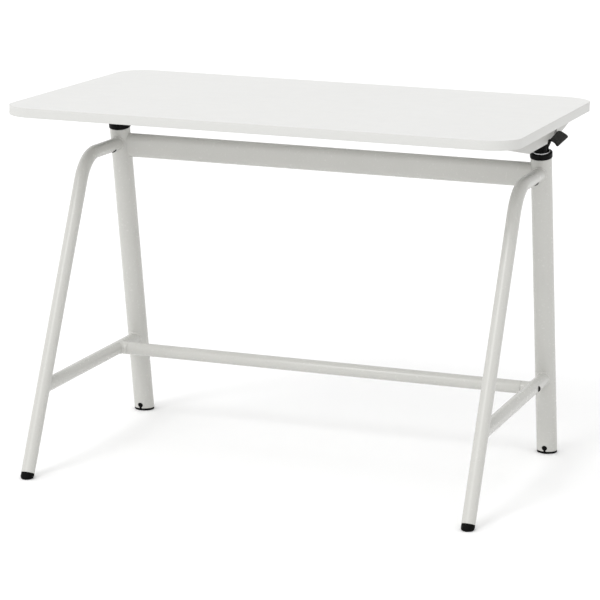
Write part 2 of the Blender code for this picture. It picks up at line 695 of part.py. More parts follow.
def make_head(name, sign, axis):
    """Moulded head: plugs the inner tube, holds the rod and carries the release lever."""
    plug = INNER_R - INNER_WALL - GAP
    socket = ROD_R + GAP
    pin_way = PIN_R + SLIP
    profile = [(socket, HEAD_LOW), (plug - 0.001, HEAD_LOW), (plug, HEAD_LOW + 0.001),
               (plug, HEAD_SHOULDER - 0.001), (plug - 0.001, HEAD_SHOULDER), (pin_way, HEAD_SHOULDER),
               (pin_way, ROD_TOP + GAP), (socket, ROD_TOP + GAP)]
    head = piece(f"lift_head_{name}", turned(profile, 24), BLACK, axis)
    outline = rounded_rectangle(2 * HEAD_HALF_X, 2 * HEAD_HALF_Y, HEAD_ROUND, 4)
    tower = prism(outline, "z", INNER_TOP + GAP, HEAD_TOP)
    boolean(head, cutter(f"join_tower_{name}", tower, axis), "UNION")
    crown = block((-CROWN_HALF_X, CROWN_FRONT, CROWN_LOW), (CROWN_HALF_X, CROWN_BACK, HEAD_TOP - 0.0005))
    boolean(head, cutter(f"join_crown_{name}", crown, axis), "UNION")
    boolean(head, cutter(f"cut_slot_{name}", head_slot(sign), axis))
    boolean(head, cutter(f"drill_head_{name}", head_drills(sign), axis))


def make_pivot_pin(label, sign, axis):
    """Cross pin that the release lever turns on."""
    bm = drill_between((0, PIVOT_FRONT, 0), (0, PIVOT_BACK, 0), PIVOT_R)
    piece(label, bm, STEEL, axis, (sign * PIVOT_X, 0, PIVOT_ALONG))


def make_head_bolt(name, sign, axis):
    """Bolt through the arm's inner wall into the head."""
    length = ARM_HALF_X + HEAD_BOLT_TIP - 0.0005
    bm = button_screw(0.0050, 0.0032, HEAD_BOLT_R, length)
    bm.transform(Matrix.Rotation(-sign * math.pi / 2, 4, "Y"))
    place = (-sign * (ARM_HALF_X + GAP), 0, HEAD_BOLT_ALONG)
    piece(f"head_bolt_{name}", bm, ZINC, axis, place)


def hub_and_finger(sign, tail):
    """The outline of a release lever seen from the front, about its pivot at the origin.

    The finger points at the column's axis and rests on the valve pin; tail holds the points of
    the outer arm, from its lower edge round to its upper edge.
    """
    radius = HUB_R
    finger_low = PIN_TOP + GAP - PIVOT_ALONG
    outline = [(-PIVOT_X - 0.0022, finger_low), (-PIVOT_X - 0.0022, finger_low + 0.0034)]
    for i in range(5):
        angle = math.radians(150 - 22 * i)
        outline.append((radius * math.cos(angle), radius * math.sin(angle)))
    outline += list(reversed(tail))
    for i in range(5):
        angle = math.radians(-40 - 22 * i)
        outline.append((radius * math.cos(angle), radius * math.sin(angle)))
    outline.append((-PIVOT_X + 0.0030, finger_low))
    return [(sign * x, z) for x, z in outline]


def swinging_part(label, sign, tail, axis):
    """A lever on a head's pivot pin: hub, finger and tail, with its origin on the pin's axis."""
    half = SLOT_HALF_Y - SLOT_PLAY
    return piece(label, prism(hub_and_finger(sign, tail), "y", -half, half), LEVER_BLACK, axis,
                 (sign * PIVOT_X, 0, PIVOT_ALONG))


def bore_pivot(part, label, sign, axis):
    """Cut the pivot pin's hole through a lever."""
    bore = drill_between((0, -0.010, 0), (0, 0.010, 0), PIVOT_R + GAP)
    boolean(part, cutter(label, bore, axis, (sign * PIVOT_X, 0, PIVOT_ALONG)))


def make_lever(axis):
    """Release lever: hub and finger on the pin, an arm that rises outwards and a paddle."""
    root_x = PADDLE_INNER_X - PIVOT_X
    rise = PADDLE_INNER_ALONG - PIVOT_ALONG
    tail = [(0.0058, -0.0010), (root_x + 0.0030, rise - 0.0052), (root_x + 0.0030, rise - 0.0009),
            (root_x - 0.0050, rise - 0.0009), (0.0008, HUB_R)]
    lever = swinging_part("release_lever", 1, tail, axis)
    paddle = cutter("join_paddle", paddle_plate(), axis, (PIVOT_X, 0, PIVOT_ALONG))
    boolean(lever, paddle, "UNION")
    bore_pivot(lever, "drill_lever", 1, axis)


def paddle_section():
    """The paddle's section across its length: a thin plate with a heavy rounded lip outside."""
    inner_x, outer_x = PADDLE_INNER_X - PIVOT_X, PADDLE_OUTER_X - PIVOT_X
    high, low = PADDLE_INNER_ALONG - PIVOT_ALONG, PADDLE_OUTER_ALONG - PIVOT_ALONG
    return [
        (inner_x, high), (inner_x + 0.006, high - 0.0012), (outer_x - 0.0028, low + 0.0009),
        (outer_x - 0.0006, low - 0.0007), (outer_x, low - 0.0027), (outer_x - 0.0006, low - 0.0047),
        (outer_x - 0.0020, low - PADDLE_LIP), (outer_x - 0.0036, low - PADDLE_LIP + 0.0014),
        (outer_x - 0.0068, low + 0.0004), (inner_x + 0.006, high - PADDLE_T - 0.0018),
        (inner_x, high - PADDLE_T),
    ]


def paddle_ring(bm, place, share, cut):
    """The section at one place along the paddle; share is how far back, cut is off the corner."""
    inner_x, outer_x = PADDLE_INNER_X - PIVOT_X, PADDLE_OUTER_X - PIVOT_X
    middle = (inner_x + outer_x) / 2
    ring = []
    for x, z in paddle_section():
        part = (x - inner_x) / (outer_x - inner_x)
        flare = PADDLE_INNER_FLARE + (PADDLE_OUTER_FLARE - PADDLE_INNER_FLARE) * part
        if x > middle:
            x -= cut * (x - middle) / (outer_x - middle)
        ring.append(bm.verts.new((x + flare * share, place, z)))
    return ring


def paddle_plate():
    """The finger paddle: droops outwards, flares to the back and has a round rear corner."""
    length = PADDLE_BACK - PADDLE_FRONT
    bm = bmesh.new()
    rings = [paddle_ring(bm, PADDLE_FRONT, 0.0, 0.0009), paddle_ring(bm, PADDLE_FRONT + 0.0012, 0.02, 0.0)]
    for degrees in (0, 30, 60, 85):
        angle = math.radians(degrees)
        place = PADDLE_BACK - PADDLE_CORNER_R * (1 - math.sin(angle))
        share = (place - PADDLE_FRONT) / length
        rings.append(paddle_ring(bm, place, share, PADDLE_CORNER_R * (1 - math.cos(angle))))
    for first, second in zip(rings, rings[1:]):
        bridge(bm, first, second)
    bm.faces.new(rings[0])
    bm.faces.new(rings[-1])
    return bm


def make_rocker(axis):
    """The left head's release lever: a short tail that the cable pulls."""
    tail = [(0.0058, -0.0010), (0.0105, 0.0045), (0.0075, 0.0085), (0.0008, HUB_R)]
    rocker = swinging_part("cable_rocker", -1, tail, axis)
    bore_pivot(rocker, "drill_rocker", -1, axis)


# ---------------------------------------------------------------- arms and board
def arm_outline():
    """Side view of an arm under the board, as y and z."""
    top = BOARD_LOW_Z - GAP
    return [
        (ARM_FRONT_Y, top), (ARM_FRONT_Y, ARM_FRONT_Z), (ARM_KNEE_FRONT_Y, ARM_BOTTOM_Z),
        (ARM_KNEE_REAR_Y, ARM_BOTTOM_Z), (ARM_REAR_Y, ARM_REAR_Z), (ARM_REAR_Y, top),
    ]


def arm_hollow(sign):
    """What is taken out of the arm: the channel, the foot of its inner wall and the notch."""
    below = ARM_BOTTOM_Z - 0.010
    bore = ARM_HALF_X - ARM_WALL
    channel = block((-bore, ARM_FRONT_Y + ARM_WALL, below),
                    (bore, ARM_REAR_Y - ARM_WALL, BOARD_LOW_Z - GAP - ARM_WALL))
    inner_foot = block((-sign * (ARM_HALF_X + 0.004), ARM_FRONT_Y - 0.010, below),
                       (-sign * (bore - 0.001), ARM_REAR_Y + 0.010, ARM_INNER_BOTTOM_Z))
    notch = prism(NOTCH, "x", sign * (bore - 0.001), sign * (ARM_HALF_X + 0.004))
    return channel, inner_foot, notch


def arm_rib(sign):
    """Rib inside the arm that backs the notch, as deep as the arm itself."""
    top = BOARD_LOW_Z - GAP - 0.0005
    slope = (ARM_REAR_Z - ARM_BOTTOM_Z) / (ARM_REAR_Y - ARM_KNEE_REAR_Y)
    rear_low = ARM_BOTTOM_Z + slope * (RIB_REAR_Y - ARM_KNEE_REAR_Y)
    outline = [(RIB_FRONT_Y, top), (RIB_FRONT_Y, ARM_BOTTOM_Z), (ARM_KNEE_REAR_Y, ARM_BOTTOM_Z),
               (RIB_REAR_Y, rear_low), (RIB_REAR_Y, top)]
    return prism(outline, "x", sign * (RIB_X - RIB_T), sign * RIB_X)


def arm_wall_drills(sign):
    """Holes in the inner wall for the head's bolt and for the cable."""
    inside, outside = -sign * (ARM_HALF_X - ARM_WALL - 0.0015), -sign * (ARM_HALF_X + 0.0065)
    bolt = drill_between((outside, 0, HEAD_BOLT_ALONG), (inside, 0, HEAD_BOLT_ALONG),
                         HEAD_BOLT_R + GAP)
    cable = drill_between((outside, CABLE_SIDE, CABLE_ALONG), (inside, CABLE_SIDE, CABLE_ALONG),
                          CABLE_R + 2 * SLIP)
    return merged(bolt, cable)


def make_arm(name, sign, axis):
    """Pressed steel arm: a tapered channel, open below, that screws up into the board."""
    place = (sign * FRAME_X, 0, 0)
    blank = prism(arm_outline(), "x", -ARM_HALF_X, ARM_HALF_X)
    arm = piece(f"board_arm_{name}", blank, ARM_WHITE, None, place, smooth=False)
    for label, tool in zip(("channel", "inner_foot", "notch"), arm_hollow(sign)):
        boolean(arm, cutter(f"cut_{label}_{name}", tool, None, place))
    boolean(arm, cutter(f"join_rib_{name}", arm_rib(sign), None, place), "UNION")
    boolean(arm, cutter(f"drill_arm_{name}", arm_wall_drills(sign), axis))
    top = BOARD_LOW_Z - GAP
    drills = []
    for y in ARM_SCREW_Y:
        for x in (-ARM_SCREW_X, ARM_SCREW_X):
            drills.append(drill_between((x, y, top - 0.010), (x, y, top + 0.002), BOARD_SCREW_R + GAP))
    boolean(arm, cutter(f"drill_plate_{name}", merged(*drills), None, place))


def board_screw_places():
    """Name and place of each screw from an arm's top plate into the board."""
    for name, sign in SIDES:
        for row, y in zip(("front", "rear"), ARM_SCREW_Y):
            for label, side in (("inner", -sign), ("outer", sign)):
                yield f"{name}_{row}_{label}", sign * FRAME_X + side * ARM_SCREW_X, y


def make_edge_band(centre):
    """Edge band: a ring round the board's core with eased edges."""
    bm = bmesh.new()
    levels = [(0.0, BOARD_LOW_Z + BAND_ARRIS), (0.0, TABLE_H - BAND_ARRIS), (BAND_ARRIS, TABLE_H),
              (BAND_T, TABLE_H), (BAND_T, BOARD_LOW_Z), (BAND_ARRIS, BOARD_LOW_Z)]
    loops = []
    for inset, z in levels:
        width, depth = BOARD_W - 2 * inset, BOARD_D - 2 * inset
        outline = rounded_rectangle(width, depth, BOARD_CORNER_R - inset)
        loops.append([bm.verts.new((x, y, z)) for x, y in outline])
    for first, second in zip(loops, loops[1:] + loops[:1]):
        bridge(bm, first, second)
    piece("edge_band", bm, BAND, None, centre)


def make_board():
    """Board core, and the screws that hold it to the arms in blind holes."""
    inset = BAND_T + GAP
    outline = rounded_rectangle(BOARD_W - 2 * inset, BOARD_D - 2 * inset, BOARD_CORNER_R - inset)
    slab = prism(outline, "z", BOARD_LOW_Z, TABLE_H)
    core = piece("tabletop", slab, LAMINATE, None, (0, BOARD_Y, 0))
    drills = []
    head_z = BOARD_LOW_Z - GAP - ARM_WALL - GAP
    for label, x, y in board_screw_places():
        bm = button_screw(0.0042, 0.0024, BOARD_SCREW_R, BOARD_SCREW_LENGTH)
        bm.transform(Matrix.Rotation(math.pi, 4, "X"))
        piece(f"board_screw_{label}", bm, ZINC, None, (x, y, head_z))
        drills.append(drill_between((x, y, BOARD_LOW_Z - 0.004), (x, y, BOARD_LOW_Z + 0.0125),
                                    BOARD_SCREW_R + GAP))
    boolean(core, cutter("drill_board", merged(*drills), None))


def column_point(sign, x, side, along):
    """World place of a point given along and across a column."""
    y = COLUMN_GROUND_Y + side * COS - along * SIN
    return Vector((sign * FRAME_X + x, y, side * SIN + along * COS))


def cable_route():
    """Route of the release cable: out of one head, up under the board and into the other."""
    start = column_point(1, -CABLE_POCKET - 0.0005, CABLE_SIDE, CABLE_ALONG)
    run_y = start.y + 0.008
    guides = [
        start,
        start + Vector((-0.010, 0, 0)),
        start + Vector((-0.020, 0, 0)),
        start + Vector((-0.048, 0.001, 0.007)),
        Vector((FRAME_X - 0.090, start.y + 0.005, BOARD_LOW_Z - 0.011)),
        Vector((CLIP_X, run_y, CABLE_Z)),
        Vector((CLIP_X / 2, run_y, CABLE_Z)),
    ]
    mirrored = [Vector((-p.x, p.y, p.z)) for p in reversed(guides)]
    return smooth_route(guides + [Vector((0, run_y, CABLE_Z))] + mirrored, 3)


def smooth_route(points, steps):
    """A Catmull-Rom curve through the points, with steps pieces between each pair."""
    ends = [points[0] * 2 - points[1]] + points + [points[-1] * 2 - points[-2]]
    route = []
    for a, b, c, d in zip(ends, ends[1:], ends[2:], ends[3:]):
        for i in range(steps):
            t = i / steps
            slope, curve = c - a, a * 2 - b * 5 + c * 4 - d
            twist = b * 3 - a - c * 3 + d
            route.append((b * 2 + slope * t + curve * t ** 2 + twist * t ** 3) / 2)
    route.append(points[-1])
    return route


def make_cable():
    """Release cable in its sheath, and the clips that hold it under the board."""
    route = cable_route()
    curve = bpy.data.curves.new("release_cable", "CURVE")
    curve.dimensions = "3D"
    curve.bevel_depth = CABLE_R
    curve.bevel_resolution = 2
    curve.use_fill_caps = True
    spline = curve.splines.new("POLY")
    spline.points.add(len(route) - 1)
    for target, point in zip(spline.points, route):
        target.co = (*point, 1.0)
    curve.materials.append(material(CABLE_BLACK))
    cable = bpy.data.objects.new("release_cable", curve)
    bpy.context.collection.objects.link(cable)
    make_clips(route[len(route) // 2].y)


def make_clips(y):
    """The two clips that hold the cable up against the board."""
    for name, sign in SIDES:
        place = (sign * CLIP_X, y, BOARD_LOW_Z)
        bm = block((-CLIP_HALF_X, -CLIP_HALF_Y, -CLIP_DROP), (CLIP_HALF_X, CLIP_HALF_Y, -GAP))
        clip = piece(f"cable_clip_{name}", bm, BLACK, None, place)
        way = drill_between((-0.02, 0, -CABLE_DROP), (0.02, 0, -CABLE_DROP), CABLE_R + SLIP)
        boolean(clip, cutter(f"cut_clip_{name}", way, None, place))


def build_lift(axes):
    """Everything that rises with the board, and the gas springs inside the columns."""
    for name, sign in SIDES:
        axis = axes[name]
        make_collar(name, axis)
        make_gas_cylinder(name, axis)
        make_gland(name, axis)
        make_rod(name, axis)
        make_valve_pin(name, axis)
        make_inner_tube(name, axis)
        make_glide(name, axis)
        make_head(name, sign, axis)
        make_head_bolt(name, sign, axis)
        make_arm(name, sign, axis)
    make_lever(axes["right"])
    make_pivot_pin("lever_pin", 1, axes["right"])
    make_rocker(axes["left"])
    make_pivot_pin("rocker_pin", -1, axes["left"])
    make_board()
    make_edge_band((0, BOARD_Y, 0))
    make_cable()


def build():
    """The whole table: the standing frame and the part that rises."""
    column_plane = frame_empty("column_plane", (0, COLUMN_GROUND_Y, 0), COLUMN_LEAN)
    axes = {}
    for name, sign in SIDES:
        place = (sign * FRAME_X, COLUMN_GROUND_Y, 0)
        axes[name] = frame_empty(f"column_axis_{name}", place, COLUMN_LEAN)
    build_base(column_plane, axes)
    build_lift(axes)


clear_scene()
build()
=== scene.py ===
"""Looks of the height-adjustable drafting table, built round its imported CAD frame.

Metres, +Z up, +X to the sitter's right, -Y towards the sitter. Every piece is made where the CAD
says it is and rides on the CAD body that it belongs to.
"""

import json
import math

import bmesh
import bpy
from mathutils import Matrix, Vector


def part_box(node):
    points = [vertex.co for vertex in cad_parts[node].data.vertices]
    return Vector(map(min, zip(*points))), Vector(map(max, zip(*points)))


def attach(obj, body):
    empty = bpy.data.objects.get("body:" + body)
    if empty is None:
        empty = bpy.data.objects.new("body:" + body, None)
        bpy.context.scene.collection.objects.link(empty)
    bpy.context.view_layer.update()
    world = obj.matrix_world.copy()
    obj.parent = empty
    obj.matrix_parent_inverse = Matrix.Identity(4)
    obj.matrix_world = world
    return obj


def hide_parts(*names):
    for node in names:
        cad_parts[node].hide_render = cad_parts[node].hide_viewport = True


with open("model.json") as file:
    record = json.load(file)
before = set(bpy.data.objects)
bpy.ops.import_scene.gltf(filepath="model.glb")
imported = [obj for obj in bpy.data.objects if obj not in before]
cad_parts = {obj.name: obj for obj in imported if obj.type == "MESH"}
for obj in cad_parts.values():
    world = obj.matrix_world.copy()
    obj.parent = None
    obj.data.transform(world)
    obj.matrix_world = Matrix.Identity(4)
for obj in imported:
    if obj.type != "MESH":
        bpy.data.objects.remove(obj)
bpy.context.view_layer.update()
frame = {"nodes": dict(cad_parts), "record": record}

# ---- sizes, as in the CAD source
BOARD_LOW, BOARD_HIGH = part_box("edge_band")
BOARD_W, BOARD_D = BOARD_HIGH.x - BOARD_LOW.x, BOARD_HIGH.y - BOARD_LOW.y
BOARD_Y = (BOARD_LOW.y + BOARD_HIGH.y) / 2
BOARD_LOW_Z, TABLE_H = BOARD_LOW.z, BOARD_HIGH.z
BOARD_CORNER_R, BAND_T = 0.063, 0.0010

FRAME_X = 0.4400
COLUMN_LEAN = math.radians(13.1)
COLUMN_GROUND_Y = 0.2801
COLUMN_R, COLUMN_WALL = 0.02075, 0.0015
COLUMN_TOP, COLUMN_CUT_Z = 0.6406, 0.0045
COS, SIN = math.cos(COLUMN_LEAN), math.sin(COLUMN_LEAN)

LEG_LEAN = math.radians(25.0)
LEG_GROUND_Y = -0.3150
LEG_R, LEG_WALL = 0.0131, 0.0015
LEG_TOP_Z, LEG_BEND_R, LEG_END = 0.5905, 0.080, 0.0105
LEG_CAP_R, LEG_PLUG_TOP, CAP_ROUND, CAP_SOLE = 0.0129, 0.0460, 0.0065, 0.66
LEG_DRAINS = {"left": (0.088, -53.0), "right": (0.075, -55.0)}     # y, and degrees above +X
LEG_DRAIN_R = 0.0045

RUNG_Z, RUNG_R, RUNG_WALL, ACCESS_R = 0.1637, 0.0132, 0.0015, 0.0047
SCREW_BORE_R, STUB_LENGTH, STUB_BORE = 0.0031, 0.045, 0.017
BAR_SCREW_HEAD_R = 0.0045
BAR_Y, BAR_R, BAR_WALL, BAR_BAND = 0.1369, 0.01305, 0.0015, 0.009
BEAM_ALONG, BEAM_H, BEAM_DEPTH, BEAM_WALL = 0.6022, 0.0500, 0.0260, 0.0015
BEAM_SCREW_IN, BEAM_SCREW_RISE = 0.028, 0.009

INNER_R, INNER_WALL, INNER_LENGTH, INNER_TOP = 0.0175, 0.0015, 0.560, 0.6535
COLLAR_R, COLLAR_H, COLLAR_SLEEVE = 0.0220, 0.0110, 0.040
BUTTON_R, BUTTON_ALONG, NECK_HALF = 0.0052, 0.0172, 0.0022
FOOT_BORE_R, FOOT_BORE_LOW, FOOT_PLUG_TOP = 0.0053, 0.014, 0.0400

PIVOT_X, PIVOT_ALONG, PIVOT_R, HUB_R, LEVER_HALF_Y = 0.0090, 0.6620, 0.0020, 0.0056, 0.0048
PIN_TOP = 0.6560
# The paddle's inner and outer edges, across and along the column from the pivot.
IN_X, OUT_X = 0.0170 - PIVOT_X, 0.0350 - PIVOT_X
IN_Z, OUT_Z = 0.6777 - PIVOT_ALONG, 0.6705 - PIVOT_ALONG
PADDLE_INNER_FLARE, PADDLE_OUTER_FLARE = 0.0040, 0.0075
PADDLE_FRONT, PADDLE_BACK = -0.0025, 0.0500
PADDLE_T, PADDLE_LIP, PADDLE_CORNER_R = 0.0020, 0.0055, 0.0045
HEAD_BOLT_ALONG, HEAD_BOLT_HOLE_R = 0.6835, 0.0033
CABLE_SIDE, CABLE_ALONG, CABLE_R, CABLE_HOLE_R = 0.0088, 0.6825, 0.0022, 0.0034
CABLE_POCKET, CABLE_DROP, CLIP_X = 0.0085, 0.0060, 0.250

ARM_HALF_X, ARM_WALL = 0.0175, 0.0018
ARM_BOTTOM_Z, ARM_INNER_BOTTOM_Z = 0.6540, 0.6605
ARM_FRONT_Y, ARM_KNEE_FRONT_Y, ARM_KNEE_REAR_Y, ARM_REAR_Y = -0.2480, -0.0300, 0.1720, 0.3060
ARM_FRONT_Z, ARM_REAR_Z = 0.6935, 0.6780
ARM_SCREW_Y, ARM_SCREW_X = (-0.178, 0.237), 0.0090
NOTCH = [(0.098, 0.640), (0.1135, 0.6595), (0.1195, 0.6622), (0.1815, 0.6750), (0.190, 0.640)]
RIB_X, RIB_T, RIB_FRONT_Y, RIB_REAR_Y = 0.0122, 0.0016, 0.1440, 0.2150
GAP = 0.0003

# ---- details that only the looks have
FINE, TUBE_SIDES, PLUG_SIDES, SCREW_SIDES = 96, 64, 40, 40     # sides of the rounds
# Two faces shade as one where the angle between them is below this, in degrees.
SMOOTH_BELOW, WELD_SMOOTH_BELOW, SHADE_PLUG_SMOOTH_BELOW, CAD_SMOOTH_BELOW = 38.0, 60.0, 40.0, 35.0
COLUMN_EASE, TUBE_EASE = 0.0004, 0.0005
COLUMN_SQUARE = 0.034                         # along the column, clear of its slanted cut
KEYHOLE_LOW, NECK_LOW, KEYHOLE_DEPTH = 0.0005, 0.0072, 0.006
BUTTON_DOME = ((1.0, 0.0055), (1.0, -0.0002), (0.95, -0.0006), (0.82, -0.0009), (0.45, -0.0011))
LEG_WELD, RUNG_REAR_WELD, RUNG_FRONT_WELD, STUB_WELD = 0.0030, 0.0028, 0.0026, 0.0026
WELD_RIPPLES, RIPPLE_STEPS, RIPPLE_HEIGHT, WELD_BITE = 34, 5, 0.07, 0.0003
# The black domed plugs below are painted shade: their black stands in for the shade inside the leg
# drains and the rung's screw hole.
LEG_SHADE_PLUG_CROWN, RUNG_SHADE_PLUG_CROWN, SHADE_PLUG_BRIM = 0.0018, 0.0028, 0.0010
SHADE_PLUG_STEM = ((0.0004, -0.0040), (0.0002, -0.0030), (0.0002, 0.0001))     # inside the hole's edge
SHADE_PLUG_DOME = ((1.0, 0.25), (0.96, 0.45), (0.84, 0.68), (0.62, 0.87), (0.32, 0.97))
PADDLE_END_R, PADDLE_SLOPE, PADDLE_TAPER = 0.0016, 0.55, 0.0015
FINGER_BACK, FINGER_T = 0.0022, 0.0034
ARM_FOLD_R, ARM_LIP, JOIN = 0.0028, 0.0045, 0.0004
SEAM, NICK, ARRIS, ARRIS_FLAT = 0.00015, 0.00025, 0.0011, 0.85
FERRULE_LENGTH, FERRULE_RIBS, FERRULE_PITCH = 0.0135, 7, 0.0016
# Head radius and height, shank radius and length, drive: beam, bar, board and head bolt.
SCREWS = ((0.0050, 0.0030, 0.0028, 0.0095, "hex"),
          (BAR_SCREW_HEAD_R, 0.0026, 0.0028, 0.0260, "hex"),
          (0.0042, 0.0024, 0.0020, 0.0135, "cross"), (0.0050, 0.0032, 0.0030, 0.0210, "hex"))

SIDES = (("left", -1), ("right", 1))
QUARTER = math.pi / 2
BACK = Vector((0.0, 1.0, 0.0))


def column_matrix(sign):
    """From a column's own frame (x, up the back, along the axis) to the row frame."""
    move = Matrix.Translation((sign * FRAME_X, COLUMN_GROUND_Y, 0.0))
    return move @ Matrix.Rotation(COLUMN_LEAN, 4, "X")


def leg_matrix(sign):
    """From a front leg's own frame to the row frame."""
    move = Matrix.Translation((sign * FRAME_X, LEG_GROUND_Y, 0.0))
    return move @ Matrix.Rotation(-LEG_LEAN, 4, "X")


def heading(turn, rise):
    """The way from the sitter to the table, turned to the right and then raised."""
    level = math.cos(rise)
    return Vector((math.sin(turn) * level, math.cos(turn) * level, math.sin(rise)))


# ---- materials
def new_material(name):
    """An empty Principled material: its tree, shader and object coordinates."""
    made = bpy.data.materials.new(name)
    made.use_nodes = True
    tree = made.node_tree
    coords = tree.nodes.new("ShaderNodeTexCoord").outputs["Object"]
    return made, tree, tree.nodes["Principled BSDF"], coords


def noise(tree, coords, scale, detail, rough=0.5, stretch=None):
    """A noise texture's factor, with an optional stretch of its coordinates."""
    if stretch:
        mapping = tree.nodes.new("ShaderNodeMapping")
        mapping.inputs["Scale"].default_value = stretch
        tree.links.new(coords, mapping.inputs["Vector"])
        coords = mapping.outputs["Vector"]
    texture = tree.nodes.new("ShaderNodeTexNoise")
    texture.inputs["Scale"].default_value = scale
    texture.inputs["Detail"].default_value = detail
    texture.inputs["Roughness"].default_value = rough
    tree.links.new(coords, texture.inputs["Vector"])
    return texture.outputs["Fac"]


def ramp(tree, factor, stops):
    """A colour ramp from two (position, colour or grey) stops."""
    node = tree.nodes.new("ShaderNodeValToRGB")
    for element, (position, colour) in zip(node.color_ramp.elements, stops):
        grey = (colour,) * 3 if isinstance(colour, float) else colour
        element.position = position
        element.color = (*grey, 1.0)
    tree.links.new(factor, node.inputs["Fac"])
    return node.outputs["Color"]


def multiplied(tree, first, second):
    """One colour times another."""
    mix = tree.nodes.new("ShaderNodeMix")
    mix.data_type, mix.blend_type = "RGBA", "MULTIPLY"
    mix.inputs["Factor"].default_value = 1.0
    tree.links.new(first, mix.inputs["A"])
    tree.links.new(second, mix.inputs["B"])
    return mix.outputs["Result"]


def shade(colour, amount):
    """A colour made lighter or darker."""
    return tuple(min(1.0, c * amount) for c in colour)


def bump(tree, shader, heights):
    """Bump nodes in a row, from (height, strength, distance) entries."""
    normal = None
    for height, strength, distance in heights:
        node = tree.nodes.new("ShaderNodeBump")
        node.inputs["Strength"].default_value = strength
        node.inputs["Distance"].default_value = distance
        tree.links.new(height, node.inputs["Height"])
        if normal:
            tree.links.new(normal, node.inputs["Normal"])
        normal = node.outputs["Normal"]
    tree.links.new(normal, shader.inputs["Normal"])


def speckled(name, colour, rough, grain, depth, cloud=0.02, speckle=0.03, specular=0.5):
    """A painted or moulded finish: soft clouds, a fine speckle, a grain and uneven gloss."""
    made, tree, shader, coords = new_material(name)
    broad = noise(tree, coords, 7.0, 4.0)
    fine = noise(tree, coords, grain, 2.0)
    clouds = ramp(tree, broad,
                  [(0.25, shade(colour, 1 - cloud)), (0.75, shade(colour, 1 + cloud))])
    specks = ramp(tree, fine, [(0.30, 1.0 - speckle), (0.62, 1.0)])
    tree.links.new(multiplied(tree, clouds, specks), shader.inputs["Base Color"])
    gloss = noise(tree, coords, grain * 0.23, 3.0)
    tree.links.new(ramp(tree, gloss, [(0.3, rough * 0.94), (0.7, rough * 1.07)]),
                   shader.inputs["Roughness"])
    shader.inputs["Specular IOR Level"].default_value = specular
    bump(tree, shader, [(fine, 0.5, depth), (gloss, 0.25, depth * 2.5)])
    return made


def drawn_metal(name, colour, rough, stretch):
    """Bright metal with fine marks that run one way, and a faint uneven gloss."""
    made, tree, shader, coords = new_material(name)
    marks = noise(tree, coords, 60.0, 6.0, 0.7, stretch)
    cloud = noise(tree, coords, 25.0, 3.0)
    tree.links.new(ramp(tree, cloud, [(0.2, shade(colour, 0.93)), (0.8, shade(colour, 1.05))]),
                   shader.inputs["Base Color"])
    tree.links.new(ramp(tree, marks, [(0.25, rough - 0.06), (0.75, rough + 0.12)]),
                   shader.inputs["Roughness"])
    shader.inputs["Metallic"].default_value = 1.0
    bump(tree, shader, [(marks, 0.4, 0.00002)])
    return made


def laminate(name, colour):
    """Off-white decor laminate: a faint pearl in the surface and the slightest mottle."""
    made, tree, shader, coords = new_material(name)
    pearl = noise(tree, coords, 1300.0, 2.0, 0.6)
    mottle = noise(tree, coords, 28.0, 5.0, 0.6)
    drift = noise(tree, coords, 2.5, 2.0)
    tint = ramp(tree, mottle, [(0.30, shade(colour, 0.985)), (0.70, shade(colour, 1.01))])
    broad = ramp(tree, drift, [(0.3, 0.985), (0.7, 1.0)])
    tree.links.new(multiplied(tree, tint, broad), shader.inputs["Base Color"])
    tree.links.new(ramp(tree, pearl, [(0.3, 0.40), (0.7, 0.54)]), shader.inputs["Roughness"])
    bump(tree, shader, [(pearl, 0.25, 0.00004)])
    return made


def edge_tape(name, colour):
    """Edge band: the board's colour, with the faint lines of its scraped and buffed edge."""
    made, tree, shader, coords = new_material(name)
    lines = noise(tree, coords, 30.0, 4.0, 0.6, (0.4, 0.4, 90.0))
    fine = noise(tree, coords, 900.0, 2.0)
    tree.links.new(ramp(tree, lines, [(0.3, shade(colour, 0.985)), (0.7, shade(colour, 1.01))]),
                   shader.inputs["Base Color"])
    tree.links.new(ramp(tree, fine, [(0.3, 0.38), (0.7, 0.50)]), shader.inputs["Roughness"])
    bump(tree, shader, [(lines, 0.15, 0.00004), (fine, 0.2, 0.00003)])
    return made


# Slot, kind of finish, and what that kind takes: its colour, roughness, grain, depth and the rest.
PAINT, BLACK = (0.518, 0.515, 0.489), (0.0030, 0.0030, 0.0030)
MATERIALS = {slot: kind(slot, *values) for slot, kind, *values in (
    ("frame_powder_coat", speckled, PAINT, 0.26, 950.0, 0.00001),
    ("arm_powder_coat", speckled, shade(PAINT, 0.87), 0.36, 950.0, 0.00002),
    ("board_laminate", laminate, (0.710, 0.710, 0.697)),
    ("board_edge_band", edge_tape, (0.578, 0.578, 0.560)),
    ("black_plastic", speckled, BLACK, 0.38, 1500.0, 0.00004, 0.10, 0.15, 0.07),
    ("black_rubber", speckled, BLACK, 0.55, 1100.0, 0.00006, 0.10, 0.20, 0.06),
    ("lever_plastic", speckled, (0.0105, 0.0105, 0.0085), 0.45, 1300.0, 0.00007, 0.08, 0.20, 0.15),
    ("bright_steel", drawn_metal, (0.56, 0.56, 0.57), 0.20, (8.0, 8.0, 0.3)),
    ("zinc_screw", drawn_metal, (0.60, 0.60, 0.57), 0.32, (6.0, 6.0, 6.0)),
    ("gas_cylinder_paint", speckled, (0.028, 0.028, 0.030), 0.30, 700.0, 0.00004),
    ("cable_sheath", speckled, (0.018, 0.018, 0.019), 0.50, 800.0, 0.00005),
)}


